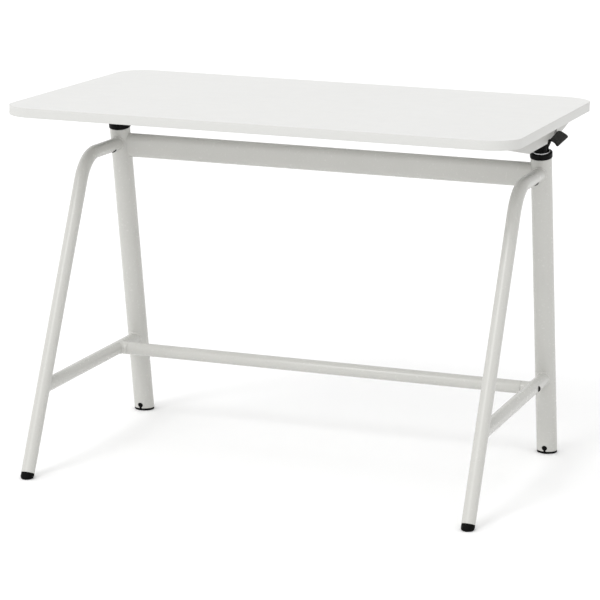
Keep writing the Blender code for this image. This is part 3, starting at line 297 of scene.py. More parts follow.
# ---- mesh makers
def to_object(name, bm, slot, matrix=None, sharp=SMOOTH_BELOW):
    """A bmesh as a named object with its slot's material; normals out, smooth but for edges."""
    bmesh.ops.remove_doubles(bm, verts=bm.verts, dist=1e-7)
    bmesh.ops.recalc_face_normals(bm, faces=bm.faces)
    mesh = bpy.data.meshes.new(name)
    bm.to_mesh(mesh)
    bm.free()
    mesh.shade_smooth()
    mesh.set_sharp_from_angle(angle=math.radians(sharp))
    mesh.materials.append(MATERIALS[slot])
    made = bpy.data.objects.new(name, mesh)
    bpy.context.scene.collection.objects.link(made)
    if matrix is not None:
        made.matrix_world = matrix
    bpy.context.view_layer.update()
    return made


def settle(piece, body, slot, *nodes):
    """Put a finished piece on its body and hide the CAD nodes that it stands for; the slot is not
    used.
    """
    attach(piece, body)
    if nodes:
        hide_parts(*nodes)


def add_piece(name, bm, body, slot, *nodes, matrix=None, sharp=SMOOTH_BELOW):
    """A piece that needs no carving, made and settled at once."""
    settle(to_object(name, bm, slot, matrix, sharp), body, slot, *nodes)


def carve(target, bm, matrix=None, operation="DIFFERENCE"):
    """Cut one solid with another, or join it, and keep the result as the target's mesh."""
    paint = target.data.materials[0]
    tool = to_object("tool", bm, "black_plastic", matrix)
    step = target.modifiers.new("carve", "BOOLEAN")
    step.operation, step.solver, step.object = operation, "EXACT", tool
    bpy.context.view_layer.update()
    graph = bpy.context.evaluated_depsgraph_get()
    mesh = bpy.data.meshes.new_from_object(target.evaluated_get(graph))
    target.modifiers.clear()
    old, name = target.data, target.data.name
    target.data = mesh
    bpy.data.meshes.remove(old)
    mesh.name = name
    mesh.materials.clear()
    mesh.materials.append(paint)
    mesh.shade_smooth()
    mesh.set_sharp_from_angle(angle=math.radians(SMOOTH_BELOW))
    bpy.data.objects.remove(tool, do_unlink=True)


def circle(count):
    """Cosine and sine of even steps once round."""
    turns = [2 * math.pi * i / count for i in range(count)]
    return [(math.cos(turn), math.sin(turn)) for turn in turns]


def arc(radius, start, sweep, steps, centre=(0.0, 0.0)):
    """Points along an arc, with both of its ends."""
    turns = [start + sweep * i / steps for i in range(steps + 1)]
    return [(centre[0] + radius * math.cos(turn), centre[1] + radius * math.sin(turn))
            for turn in turns]


def bridge(bm, low, high):
    """Faces between two closed loops with the same number of points."""
    count = len(low)
    for i in range(count):
        j = (i + 1) % count
        bm.faces.new((low[i], low[j], high[j], high[i]))


def loft(bm, rings, closed=False):
    """Faces from each ring of points to the next, and from the last to the first if closed."""
    loops = [[bm.verts.new(point) for point in ring] for ring in rings]
    for low, high in zip(loops, loops[1:] + loops[:1] * closed):
        bridge(bm, low, high)
    return loops


def eased(points, radii, steps=5):
    """A closed outline with each corner rounded to its own radius; 0 keeps a corner sharp."""
    out = []
    count = len(points)
    for i, (point, radius) in enumerate(zip(points, radii)):
        here, back, on = Vector(point), Vector(points[i - 1]), Vector(points[(i + 1) % count])
        if radius <= 0.0:
            out.append((here.x, here.y))
            continue
        u, v = (back - here), (on - here)
        room = 0.49 * min(u.length, v.length)
        u.normalize()
        v.normalize()
        half = u.angle(v) / 2
        cut = min(radius / math.tan(half), room)
        radius = cut * math.tan(half)
        centre = here + (u + v).normalized() * (radius / math.sin(half))
        start, end = here + u * cut - centre, here + v * cut - centre
        sweep = math.pi - 2 * half
        for k in range(steps + 1):
            t = k / steps
            a, b = math.sin((1 - t) * sweep), math.sin(t * sweep)
            spot = centre + (start * a + end * b) / math.sin(sweep)
            out.append((spot.x, spot.y))
    return out


def lathe(profile, segments=FINE):
    """A solid of revolution about local Z from a closed outline of (radius, height) pairs."""
    bm = bmesh.new()
    loops = []
    for radius, height in profile:
        if radius < 1e-7:
            loops.append([bm.verts.new((0.0, 0.0, height))])
        else:
            loops.append([bm.verts.new((radius * c, radius * s, height))
                          for c, s in circle(segments)])
    for low, high in zip(loops, loops[1:] + loops[:1]):
        if len(low) == len(high) == 1:
            continue
        if len(low) == len(high):
            bridge(bm, low, high)
            continue
        tip, ring = (low[0], high) if len(low) == 1 else (high[0], low)
        for i in range(segments):
            bm.faces.new((tip, ring[i], ring[(i + 1) % segments]))
    return bm


def prism(outline, direction, low, high):
    """A flat outline pushed along x, y or z."""
    rings = [[{"x": (level, a, b), "y": (a, level, b), "z": (a, b, level)}[direction]
              for a, b in outline] for level in (low, high)]
    return skin(rings)


def rings_along(path, radius, segments=48):
    """Rings of points round a path, in a frame that doesn't twist."""
    first = (path[1] - path[0]).normalized()
    side = Vector((0.0, 1.0, 0.0)) if abs(first.x) > 0.9 else Vector((1.0, 0.0, 0.0))
    rings = []
    for index, point in enumerate(path):
        along = path[min(index + 1, len(path) - 1)] - path[max(index - 1, 0)]
        along.normalize()
        side = (side - along * side.dot(along)).normalized()
        up = along.cross(side)
        rings.append([point + (side * c + up * s) * radius for c, s in circle(segments)])
    return rings


def ring_at(point, direction, radius, segments=TUBE_SIDES):
    """One ring of points round a line, at a point of it."""
    return rings_along([point, point + direction * 0.01], radius, segments)[0]


def skin(outer, inner=None):
    """A closed mesh from rings: a solid rod, or a tube where there are inner rings as well."""
    bm = bmesh.new()
    outside = loft(bm, outer)
    if inner is None:
        bm.faces.new(outside[0])
        bm.faces.new(outside[-1])
        return bm
    inside = loft(bm, inner)
    bridge(bm, inside[0], outside[0])
    bridge(bm, outside[-1], inside[-1])
    return bm


def rod(start, end, radius, segments=24):
    """A plain straight rod, for drills."""
    return skin(rings_along([Vector(start), Vector(end)], radius, segments))


class Round:
    """An endless round rod, to cope other tubes against."""

    def __init__(self, point, axis, radius):
        self.point, self.axis, self.radius = Vector(point), Vector(axis).normalized(), radius

    def across(self, vector):
        """The part of a vector square to the axis."""
        return vector - self.axis * vector.dot(self.axis)

    def hit(self, origin, direction):
        """Where a line first meets the rod; where it misses, its nearest point."""
        d, w = self.across(direction), self.across(origin - self.point)
        a, b, c = d.dot(d), 2 * d.dot(w), w.dot(w) - self.radius ** 2
        inside = max(b * b - 4 * a * c, 0.0)
        return origin + direction * ((-b - math.sqrt(inside)) / (2 * a))

    def normal(self, point):
        """The way out of the rod at a point."""
        return self.across(point - self.point).normalized()


def weld(name, origin, direction, radius, wall, width):
    """A painted weld bead where a tube meets a round; it fades where the two are flush."""
    count = WELD_RIPPLES * RIPPLE_STEPS
    curve = [wall.hit(p, direction) for p in ring_at(origin, direction, radius, count)]
    tube = Round(origin, direction, radius)
    rings = []
    for i, q in enumerate(curve):
        tangent = (curve[(i + 1) % count] - curve[i - 1]).normalized()
        n1, n2 = wall.normal(q), tube.normal(q)
        n1 = (n1 - tangent * n1.dot(tangent)).normalized()
        n2 = (n2 - tangent * n2.dot(tangent)).normalized()
        e1, e2 = n2 - n1 * n2.dot(n1), n1 - n2 * n1.dot(n2)
        open_angle = min(e1.length, 1.0)
        e1.normalize()
        e2.normalize()
        ripple = 1.0 + RIPPLE_HEIGHT * math.sin(2 * math.pi * i * WELD_RIPPLES / count)
        size = width * ripple * min(1.0, open_angle * 1.8) + 0.0002
        out = (n1 + n2).normalized()
        ring = [q - out * WELD_BITE]
        for k in range(6):
            t = k / 5
            swell = size * 0.10 * math.sin(math.pi * t) - WELD_BITE * (t in (0.0, 1.0))
            ring.append(q + e1 * size * (1 - t) + e2 * size * t + out * swell)
        rings.append(ring)
    bm = bmesh.new()
    loft(bm, rings, closed=True)
    add_piece(name, bm, "base_frame", "frame_powder_coat", sharp=WELD_SMOOTH_BELOW)


# ---- frame
def column_round(sign):
    """The column's outside as a round to cope against."""
    return Round((sign * FRAME_X, COLUMN_GROUND_Y, 0.0), (0.0, -SIN, COS), COLUMN_R)


def leg_round(sign):
    """The straight part of the front leg as a round."""
    return Round((sign * FRAME_X, LEG_GROUND_Y, 0.0),
                 (0.0, math.sin(LEG_LEAN), math.cos(LEG_LEAN)), LEG_R)


def level_ring(radius, height):
    """A ring on a column's surface in its own frame, cut level at a height above the floor."""
    return [Vector((radius * c, radius * s, (height - radius * s * SIN) / COS))
            for c, s in circle(FINE)]


def square_ring(radius, along, segments=FINE):
    """A ring square to a tube's axis, in the tube's own frame."""
    return [Vector((radius * c, radius * s, along)) for c, s in circle(segments)]


def button_outline(low, slack=0.0):
    """The foot's button and its neck, as x and the distance along the column."""
    radius, half = BUTTON_R + slack, NECK_HALF + slack
    start = math.asin(half / radius)
    outline = arc(radius, start - QUARTER, 2 * (math.pi - start), 28, (0.0, BUTTON_ALONG))
    return outline + [(-half, low), (half, low)]


def make_column(name, sign):
    """The column: a fine tube with eased ends and the keyhole for its foot."""
    bore, eased_r = COLUMN_R - COLUMN_WALL, COLUMN_R - COLUMN_EASE
    outer = [level_ring(eased_r, COLUMN_CUT_Z), level_ring(COLUMN_R, COLUMN_CUT_Z + COLUMN_EASE),
             square_ring(COLUMN_R, COLUMN_SQUARE), square_ring(COLUMN_R, COLUMN_TOP - COLUMN_EASE),
             square_ring(eased_r, COLUMN_TOP)]
    inner = [level_ring(bore, COLUMN_CUT_Z), square_ring(bore, COLUMN_TOP)]
    matrix = column_matrix(sign)
    column = to_object(f"frame_column_{name}", skin(outer, inner), "frame_powder_coat", matrix)
    keyhole = button_outline(KEYHOLE_LOW, GAP)
    carve(column, prism(keyhole, "y", -COLUMN_R - 0.004, -COLUMN_R + KEYHOLE_DEPTH), matrix)
    settle(column, "base_frame", "frame_powder_coat", f"column_{name}")


def make_column_foot(name, sign):
    """The black foot: a rolled rim on the floor, a hollow plug and the round button."""
    rim, plug = COLUMN_R - 0.0002, COLUMN_R - COLUMN_WALL - GAP
    top = COLUMN_CUT_Z - GAP
    rings = [
        level_ring(FOOT_BORE_R, FOOT_BORE_LOW), square_ring(FOOT_BORE_R, FOOT_PLUG_TOP),
        square_ring(plug - 0.001, FOOT_PLUG_TOP), square_ring(plug, FOOT_PLUG_TOP - 0.001),
        level_ring(plug, top), level_ring(rim - 0.0004, top), level_ring(rim, top - 0.0004),
        level_ring(rim, 0.0011), level_ring(rim - 0.0003, 0.0004), level_ring(rim - 0.0009, 0.0),
    ]
    matrix = column_matrix(sign)
    add_piece(f"rim_foot_{name}", skin(rings), "base_frame", "black_rubber",
              f"column_foot_{name}", matrix=matrix)
    outline = [Vector((x, 0.0, z)) for x, z in button_outline(NECK_LOW)]
    centre = Vector((0.0, 0.0, BUTTON_ALONG))
    rings = [[centre + (p - centre) * scale + Vector((0, depth - COLUMN_R, 0)) for p in outline]
             for scale, depth in BUTTON_DOME]
    add_piece(f"foot_button_{name}", skin(rings), "base_frame", "black_rubber", matrix=matrix)


def leg_path(sign):
    """Centre line of the front leg in the row frame, from its cut end to the bend's end."""
    up = Vector((0.0, math.sin(LEG_LEAN), math.cos(LEG_LEAN)))
    ground = Vector((sign * FRAME_X, LEG_GROUND_Y, 0.0))
    turn = QUARTER - LEG_LEAN
    start = ground + up * (LEG_TOP_Z / math.cos(LEG_LEAN) - LEG_BEND_R * math.tan(turn / 2))
    inward = Vector((0.0, math.cos(LEG_LEAN), -math.sin(LEG_LEAN)))
    centre = start + inward * LEG_BEND_R
    straight = [ground + up * LEG_END, ground + up * (LEG_END + TUBE_EASE)]
    return straight + [centre + up * s - inward * c for c, s in arc(LEG_BEND_R, 0.0, turn, 28)]


def make_leg(name, sign):
    """The bent front leg, coped to the column and welded to it, with its drain hole and the black
    plug in it, which is painted shade for the hole's dark inside.
    """
    path = leg_path(sign)
    path.append(path[-1] + BACK * 0.002)
    tubes = []
    for radius in (LEG_R, LEG_R - LEG_WALL):
        rings = rings_along(path, radius, TUBE_SIDES)
        rings.append([column_round(sign).hit(p, BACK) for p in rings[-1]])
        tubes.append(rings)
    low = path[0]
    tubes[0][0] = [low + (p - low) * (1 - TUBE_EASE / LEG_R) for p in tubes[0][0]]
    leg = to_object(f"bent_leg_{name}", skin(*tubes), "frame_powder_coat")
    y, degrees = LEG_DRAINS[name]
    angle = math.radians(degrees)
    outward = Vector((math.cos(angle), 0.0, math.sin(angle)))
    middle = Vector((sign * FRAME_X, y, LEG_TOP_Z))
    centre, reach = middle + outward * LEG_R, outward * 0.005
    carve(leg, rod(centre - reach, centre + reach, LEG_DRAIN_R))
    settle(leg, "base_frame", "frame_powder_coat", f"front_leg_{name}")
    # A black plug in the drain hole: painted shade in place of the shade inside the hole.
    make_shade_plug(f"leg_shade_plug_{name}", middle, outward, LEG_R, LEG_DRAIN_R, LEG_SHADE_PLUG_CROWN)
    weld(f"weld_leg_{name}", path[-1], BACK, LEG_R, column_round(sign), LEG_WELD)


def make_leg_cap(name, sign):
    """The black cap on the leg's end: a shallow bowl whose sole lies on the floor."""
    plug, top = LEG_R - LEG_WALL - GAP, LEG_END - GAP
    rings = [square_ring(radius, along, TUBE_SIDES) for radius, along in (
        (plug - 0.002, LEG_PLUG_TOP), (plug, LEG_PLUG_TOP - 0.002), (plug, top),
        (LEG_CAP_R - 0.0005, top), (LEG_CAP_R - 0.0001, top - 0.0002))]
    for step in range(10):
        t = step / 9
        ring = []
        for point in square_ring(LEG_CAP_R, 0.0, TUBE_SIDES):
            wall = Vector((point.x, point.y, point.y * math.tan(LEG_LEAN)))
            rise = min(CAP_ROUND, 0.8 * (top - wall.z))
            start = wall + Vector((0.0, 0.0, rise))
            ring.append(start * (1 - t) ** 2 + wall * 2 * t * (1 - t) + wall * CAP_SOLE * t * t)
        rings.append(ring)
    add_piece(f"leg_cap_{name}", skin(rings), "base_frame", "black_rubber",
              f"front_foot_{name}", matrix=leg_matrix(sign))


def make_shade_plug(name, middle, outward, tube_r, hole_r, crown):
    """A domed push-in plug whose rim follows the tube (along Y) that it closes a hole in; its
    black is painted shade, in place of the shade inside the hole.
    """
    around = BACK.cross(outward)
    steps = [(hole_r - inset, height) for inset, height in SHADE_PLUG_STEM]
    brim = hole_r + SHADE_PLUG_BRIM
    steps += [(brim, SHADE_PLUG_STEM[-1][1])]
    steps += [(brim * share, crown * height) for share, height in SHADE_PLUG_DOME]
    rings = []
    for radius, height in steps:
        ring = []
        for c, s in circle(PLUG_SIDES):
            level = math.sqrt(tube_r ** 2 - (radius * c) ** 2) + height
            ring.append(middle + around * radius * c + BACK * radius * s + outward * level)
        rings.append(ring)
    add_piece(name, skin(rings), "base_frame", "black_plastic",
              sharp=SHADE_PLUG_SMOOTH_BELOW)


def make_rung(name, sign):
    """The side rung, coped and welded at both ends, with the hole for the bar's screw and the
    black plug in it, which is painted shade for the hole's dark inside.
    """
    middle = Vector((sign * FRAME_X, 0.0, RUNG_Z))
    column, leg = column_round(sign), leg_round(sign)
    tubes = []
    for radius in (RUNG_R, RUNG_R - RUNG_WALL):
        ring = ring_at(middle, BACK, radius)
        tubes.append([[leg.hit(p, -BACK) for p in ring], [column.hit(p, BACK) for p in ring]])
    rung = to_object(f"rung_{name}", skin(*tubes), "frame_powder_coat")
    joint = Vector((sign * FRAME_X, BAR_Y, RUNG_Z))
    for radius, way in ((ACCESS_R, sign), (SCREW_BORE_R, -sign)):
        drill = rod((way * (RUNG_R - 0.006), 0, 0), (way * (RUNG_R + 0.004), 0, 0), radius, 48)
        carve(rung, drill, Matrix.Translation(joint))
    settle(rung, "base_frame", "frame_powder_coat", f"side_rung_{name}")
    # A black plug in the access hole: painted shade in place of the shade inside the hole.
    make_shade_plug(f"rung_shade_plug_{name}", joint, Vector((sign, 0.0, 0.0)), RUNG_R, ACCESS_R,
              RUNG_SHADE_PLUG_CROWN)
    weld(f"weld_rung_rear_{name}", middle, BACK, RUNG_R, column, RUNG_REAR_WELD)
    weld(f"weld_rung_front_{name}", middle, -BACK, RUNG_R - 0.0002, leg, RUNG_FRONT_WELD)


def make_stub(name, sign):
    """The stub on the rung that the lower bar slides over: a shoulder with a weld at its root."""
    root = Vector((sign * (FRAME_X - RUNG_R - GAP - BAR_BAND), BAR_Y, RUNG_Z))
    outward = Vector((sign, 0.0, 0.0))
    rung = Round((sign * FRAME_X, 0.0, RUNG_Z), BACK, RUNG_R)
    spigot_r = BAR_R - BAR_WALL - GAP
    ends = ring_at(root, outward, BAR_R)
    rings = [ring_at(root - outward * STUB_LENGTH, outward, spigot_r),
             ring_at(root, outward, spigot_r),
             ring_at(root, outward, BAR_R - TUBE_EASE),
             [p + outward * TUBE_EASE for p in ends],
             [rung.hit(p, outward) for p in ends]]
    stub = to_object(f"stub_{name}", skin(rings), "frame_powder_coat")
    carve(stub, rod(root + outward * 0.02, root - outward * STUB_BORE, SCREW_BORE_R))
    settle(stub, "base_frame", "frame_powder_coat", f"bar_stub_{name}")
    weld(f"weld_stub_{name}", root, outward, BAR_R, rung, STUB_WELD)


def make_bar():
    """The lower bar, with eased ends against the stubs."""
    half, bore = FRAME_X - RUNG_R - GAP - BAR_BAND - GAP, BAR_R - BAR_WALL
    profile = eased([(bore, -half), (BAR_R, -half), (BAR_R, half), (bore, half)],
                    [0, TUBE_EASE, TUBE_EASE, 0], 3)
    matrix = Matrix.Translation((0.0, BAR_Y, RUNG_Z)) @ Matrix.Rotation(QUARTER, 4, "Y")
    add_piece("cross_bar", lathe(profile, TUBE_SIDES), "base_frame", "frame_powder_coat",
              "lower_bar", matrix=matrix)


def make_beam():
    """The upper beam: a flat oval tube whose ends are coped to both columns."""
    straight = (BEAM_H - BEAM_DEPTH) / 2
    tubes = []
    for inset in (0.0, BEAM_WALL):
        radius = BEAM_DEPTH / 2 - inset
        oval = (arc(radius, 0.0, math.pi, 26, (0.0, straight))
                + arc(radius, math.pi, math.pi, 26, (0.0, -straight)))
        reach = [FRAME_X - math.sqrt((COLUMN_R + GAP) ** 2 - y * y) for y, _ in oval]
        tubes.append([[Vector((way * x, y, z)) for x, (y, z) in zip(reach, oval)]
                      for way in (-1, 1)])
    matrix = column_matrix(0) @ Matrix.Translation((0.0, 0.0, BEAM_ALONG))
    add_piece("cross_beam", skin(*tubes), "base_frame", "frame_powder_coat", "upper_beam",
              matrix=matrix)


# ---- lift
def make_collar(name, sign):
    """Guide collar: a rolled black ring with a shallow lip round the sliding tube."""
    bore, sleeve = INNER_R + GAP, COLUMN_R - COLUMN_WALL - GAP
    low, top = COLUMN_TOP + GAP, COLUMN_TOP + COLLAR_H
    profile = eased(
        [(bore, low - COLLAR_SLEEVE), (sleeve, low - COLLAR_SLEEVE), (sleeve, low),
         (COLLAR_R, low), (COLLAR_R, top), (bore + 0.0012, top), (bore, top - 0.0010)],
        [0.0003, 0.0005, 0, 0.0006, 0.0026, 0.0004, 0.0004], 6)
    add_piece(f"guide_collar_{name}", lathe(profile), "base_frame", "black_plastic",
              f"column_collar_{name}", matrix=column_matrix(sign))


def make_inner_tube(name, sign):
    """The bright sliding tube, with an eased rim."""
    bore, low = INNER_R - INNER_WALL, INNER_TOP - INNER_LENGTH
    profile = eased([(bore, low), (INNER_R, low), (INNER_R, INNER_TOP), (bore, INNER_TOP)],
                    [0, 0.0004, 0.0004, 0.0003], 3)
    add_piece(f"slide_tube_{name}", lathe(profile), "lift", "bright_steel",
              f"inner_tube_{name}", matrix=column_matrix(sign))


def refined(node, name, slot, body, radius, segments=2):
    """A copy of a CAD node with its flat faces made whole and its edges rounded."""
    bm = bmesh.new()
    bm.from_mesh(frame["nodes"][node].data)
    bmesh.ops.remove_doubles(bm, verts=bm.verts, dist=2e-6)
    bmesh.ops.dissolve_limit(bm, angle_limit=math.radians(0.4), verts=bm.verts, edges=bm.edges)
    edges = [e for e in bm.edges
             if len(e.link_faces) == 2 and e.calc_face_angle(0.0) > math.radians(CAD_SMOOTH_BELOW)]
    bmesh.ops.bevel(bm, geom=edges, offset=radius, segments=segments, profile=0.5,
                    affect="EDGES", clamp_overlap=True)
    piece = to_object(name, bm, slot, sharp=30.0)
    smooth = piece.modifiers.new("weighted", "WEIGHTED_NORMAL")
    smooth.keep_sharp = True
    settle(piece, body, slot, node)


def paddle_outline():
    """The paddle's rounded section: a thin plate with a heavy lip along its outer edge."""
    corners = [
        (IN_X, IN_Z, 0.0007), (IN_X + 0.006, IN_Z - 0.0012, 0.006),
        (OUT_X - 0.0026, OUT_Z + 0.0009, 0.003), (OUT_X, OUT_Z - 0.0020, 0.0016),
        (OUT_X, OUT_Z - 0.0044, 0.0012), (OUT_X - 0.0016, OUT_Z - PADDLE_LIP, 0.0010),
        (OUT_X - 0.0034, OUT_Z - PADDLE_LIP + 0.0010, 0.0008),
        (OUT_X - 0.0068, OUT_Z + 0.0004, 0.0025),
        (IN_X + 0.006, IN_Z - PADDLE_T - 0.0018, 0.006), (IN_X, IN_Z - PADDLE_T, 0.0007),
    ]
    return eased([(x, z) for x, z, _ in corners], [r for _, _, r in corners])


def paddle_rings():
    """The paddle's sections from front to back: flared, thinner and narrower at both ends."""
    middle = (IN_X + OUT_X) / 2
    stations = []
    for way, end, end_r in ((-1, PADDLE_FRONT, PADDLE_END_R), (1, PADDLE_BACK, PADDLE_CORNER_R)):
        steps = [math.radians(d) for d in (0, 18, 36, 54, 70, 82)]
        for angle in (steps if way > 0 else reversed(steps)):
            stations.append((end - way * end_r * (1 - math.sin(angle)),
                             end_r * (1 - math.cos(angle))))
    rings = []
    for place, cut in stations:
        share = (place - PADDLE_FRONT) / (PADDLE_BACK - PADDLE_FRONT)
        thin = 1.0 - 0.10 * min(1.0, cut / PADDLE_TAPER)
        ring = []
        for x, z in paddle_outline():
            part = (x - IN_X) / (OUT_X - IN_X)
            flare = PADDLE_INNER_FLARE + (PADDLE_OUTER_FLARE - PADDLE_INNER_FLARE) * part
            if x > middle:
                x -= cut * (x - middle) / (OUT_X - middle)
            elif cut:
                x += min(cut, PADDLE_TAPER) * (middle - x) / (middle - IN_X)
            level = IN_Z - PADDLE_SLOPE * (x - IN_X)
            ring.append(Vector((x + flare * share, place, level + (z - level) * thin)))
        rings.append(ring)
    return rings


def lever_neck():
    """The lever's hub on its pin, its finger over the valve's pin and its root in the paddle."""
    finger = PIN_TOP + GAP - PIVOT_ALONG
    back = -PIVOT_X - FINGER_BACK
    root_x, root_top = IN_X + 0.0030, IN_Z - 0.0012
    over, under = (arc(HUB_R, math.radians(start), math.radians(-88), 11) for start in (150, -40))
    outline = [(back, finger), (back, finger + FINGER_T)] + over
    outline += [(0.0008, HUB_R), (IN_X - 0.0050, root_top), (root_x, root_top),
                (root_x, IN_Z - 0.0052), (0.0058, -0.0010)]
    outline += under + [(-PIVOT_X + 0.0030, finger)]
    radii = [0.0006, 0.0010] + [0.0] * len(over) + [0.0, 0.0020, 0.0004, 0.0025, 0.0020]
    radii += [0.0] * len(under) + [0.002]
    neck = prism(eased(outline, radii, 4), "y", -LEVER_HALF_Y, LEVER_HALF_Y)
    rims = [e for e in neck.edges if abs(e.verts[0].co.y - e.verts[1].co.y) < 1e-9]
    bmesh.ops.bevel(neck, geom=rims, offset=0.0004, segments=2, profile=0.5, affect="EDGES",
                    clamp_overlap=True)
    return neck


def make_lever():
    """The release lever: a flared paddle with round corners on a hub with its finger."""
    matrix = column_matrix(1) @ Matrix.Translation((PIVOT_X, 0.0, PIVOT_ALONG))
    lever = to_object("lift_lever", skin(paddle_rings()), "lever_plastic", matrix)
    carve(lever, lever_neck(), matrix, "UNION")
    carve(lever, rod((0, -0.010, 0), (0, 0.010, 0), PIVOT_R + GAP, 40), matrix)
    settle(lever, "lever", "lever_plastic", "release_lever")


def arm_bottom():
    """The lower edge of an arm's outer wall, from front to back, as y and z."""
    outline = [(ARM_FRONT_Y, BOARD_LOW_Z), (ARM_FRONT_Y, ARM_FRONT_Z),
               (ARM_KNEE_FRONT_Y, ARM_BOTTOM_Z), (ARM_KNEE_REAR_Y, ARM_BOTTOM_Z),
               (ARM_REAR_Y, ARM_REAR_Z), (ARM_REAR_Y, BOARD_LOW_Z)]
    return eased(outline, [0, 0.002, 0.014, 0.014, 0.004, 0], 6)[1:-1]


def arm_section(side, z_outer, z_inner):
    """The folded sheet's section at one place along an arm, as x and z: outside, then inside."""
    faces = []
    for inset in (0.0, ARM_WALL):
        half, high = ARM_HALF_X - inset, BOARD_LOW_Z - GAP - inset
        bend = max(ARM_FOLD_R - inset, 0.0008)
        fold = arc(bend, 0.0, QUARTER, 6, (half - bend, high - bend))
        faces.append([(-side * half, z_inner)] + [(-side * x, z) for x, z in fold]
                     + [(side * x, z) for x, z in reversed(fold)] + [(side * half, z_outer)])
    return faces[0] + faces[1][::-1]


def make_arm(name, sign):
    """The pressed arm: folded sheet with a deep outer wall, notch, holes, rib and end plates."""
    centre = Matrix.Translation((sign * FRAME_X, 0, 0))
    limit = BOARD_LOW_Z - GAP - ARM_LIP
    rings = []
    for y, z in arm_bottom():
        low = min(z, limit)
        section = arm_section(sign, low, max(low, ARM_INNER_BOTTOM_Z))
        rings.append([(sign * FRAME_X + x, y, level) for x, level in section])
    bm = bmesh.new()
    loops = loft(bm, rings)
    for loop in (loops[0], loops[-1]):
        for i in range(len(loop) // 2 - 1):
            bm.faces.new((loop[i], loop[i + 1], loop[-2 - i], loop[-1 - i]))
    arm = to_object(f"pressed_arm_{name}", bm, "arm_powder_coat")
    notch = eased(NOTCH, [0, 0.003, 0.003, 0.004, 0], 6)
    wall = sorted((sign * (ARM_HALF_X - ARM_WALL - 0.001), sign * (ARM_HALF_X + 0.004)))
    carve(arm, prism(notch, "x", *wall), centre)
    for radius, side, along in ((HEAD_BOLT_HOLE_R, 0.0, HEAD_BOLT_ALONG),
                                (CABLE_HOLE_R, CABLE_SIDE, CABLE_ALONG)):
        drill = rod((-sign * 0.024, side, along), (-sign * 0.0142, side, along), radius, 32)
        carve(arm, drill, column_matrix(sign))
    slope = (ARM_REAR_Z - ARM_BOTTOM_Z) / (ARM_REAR_Y - ARM_KNEE_REAR_Y)
    top = BOARD_LOW_Z - GAP - ARM_WALL + JOIN
    rib = [(RIB_FRONT_Y, top), (RIB_FRONT_Y, ARM_BOTTOM_Z), (ARM_KNEE_REAR_Y, ARM_BOTTOM_Z),
           (RIB_REAR_Y, ARM_BOTTOM_Z + slope * (RIB_REAR_Y - ARM_KNEE_REAR_Y)), (RIB_REAR_Y, top)]
    faces = sorted((sign * (RIB_X - RIB_T), sign * RIB_X))
    carve(arm, prism(eased(rib, [0, 0.003, 0.010, 0.003, 0]), "x", *faces), centre, "UNION")
    half = ARM_HALF_X - ARM_WALL + JOIN
    for y, low, way in ((ARM_FRONT_Y, ARM_FRONT_Z + 0.0003, 1),
                        (ARM_REAR_Y, ARM_REAR_Z + 0.0008, -1)):
        outline = [(sign * FRAME_X + x, z)
                   for x, z in ((-half, low), (half, low), (half, top), (-half, top))]
        ends = sorted((y + way * 0.0001, y + way * ARM_WALL))
        carve(arm, prism(outline, "y", *ends), operation="UNION")
    settle(arm, "lift", "arm_powder_coat", f"board_arm_{name}")


def board_rings(levels):
    """Rings round the board from (inset, height) pairs."""
    rings = []
    for inset, z in levels:
        radius = BOARD_CORNER_R - inset
        half_x, half_y = BOARD_W / 2 - inset - radius, BOARD_D / 2 - inset - radius
        ring = []
        for corner, (sx, sy) in enumerate(((1, 1), (-1, 1), (-1, -1), (1, -1))):
            ring += arc(radius, QUARTER * corner, QUARTER, 22, (sx * half_x, sy * half_y))
        rings.append([Vector((x, BOARD_Y + y, z)) for x, y in ring])
    return rings


def make_board():
    """The board: a laminated core and the edge band round it, with a hairline between them."""
    seam = BAND_T + SEAM
    core = skin(board_rings([(seam + NICK, BOARD_LOW_Z), (seam, BOARD_LOW_Z + NICK),
                             (seam, TABLE_H - NICK), (seam + NICK, TABLE_H)]))
    add_piece("laminate_slab", core, "lift", "board_laminate", "tabletop")
    rounding = [((ARRIS - c) * ARRIS_FLAT, s) for c, s in arc(ARRIS, 0.0, QUARTER, 5)]
    levels = [(BAND_T, BOARD_LOW_Z)]
    levels += [(inset, BOARD_LOW_Z + ARRIS - s) for inset, s in reversed(rounding)]
    levels += [(inset, TABLE_H - ARRIS + s) for inset, s in rounding] + [(BAND_T, TABLE_H)]
    band = bmesh.new()
    loft(band, board_rings(levels), closed=True)
    add_piece("edge_tape", band, "lift", "board_edge_band", "edge_band")


# ---- screws and cable
def screw_mesh(head_r, head_h, shank_r, shank, drive):
    """A domed screw along Z: head above 0 with its drive recess, shank below."""
    edge = head_h * 0.32
    profile = [(0.0, -shank), (shank_r - 0.0004, -shank), (shank_r, -shank + 0.0006),
               (shank_r, 0.0), (head_r, 0.0), (head_r, edge)]
    profile += [(head_r * c, edge + (head_h - edge) * s)
                for c, s in arc(1.0, 0.0, QUARTER, 6)[1:-1]] + [(0.0, head_h)]
    screw = to_object("screw", lathe(profile, SCREW_SIDES), "zinc_screw")
    if drive == "hex":
        depth, recess = 0.25, [(head_r * 0.44 * c, head_r * 0.44 * s) for c, s in circle(6)]
    else:
        arm, half = head_r * 0.52, head_r * 0.12
        depth = 0.30
        recess = [(half, half), (half, arm), (-half, arm), (-half, half), (-arm, half),
                  (-arm, -half), (-half, -half), (-half, -arm), (half, -arm), (half, -half),
                  (arm, -half), (arm, half)]
    carve(screw, prism(recess, "z", head_h * depth, head_h * 2))
    mesh = screw.data
    bpy.data.objects.remove(screw, do_unlink=True)
    return mesh


def put_screw(mesh, name, node, matrix, body):
    """One screw at its place, facing along the matrix's Z."""
    screw = bpy.data.objects.new(name, mesh.copy())
    bpy.context.scene.collection.objects.link(screw)
    screw.matrix_world = matrix
    settle(screw, body, "zinc_screw", node)


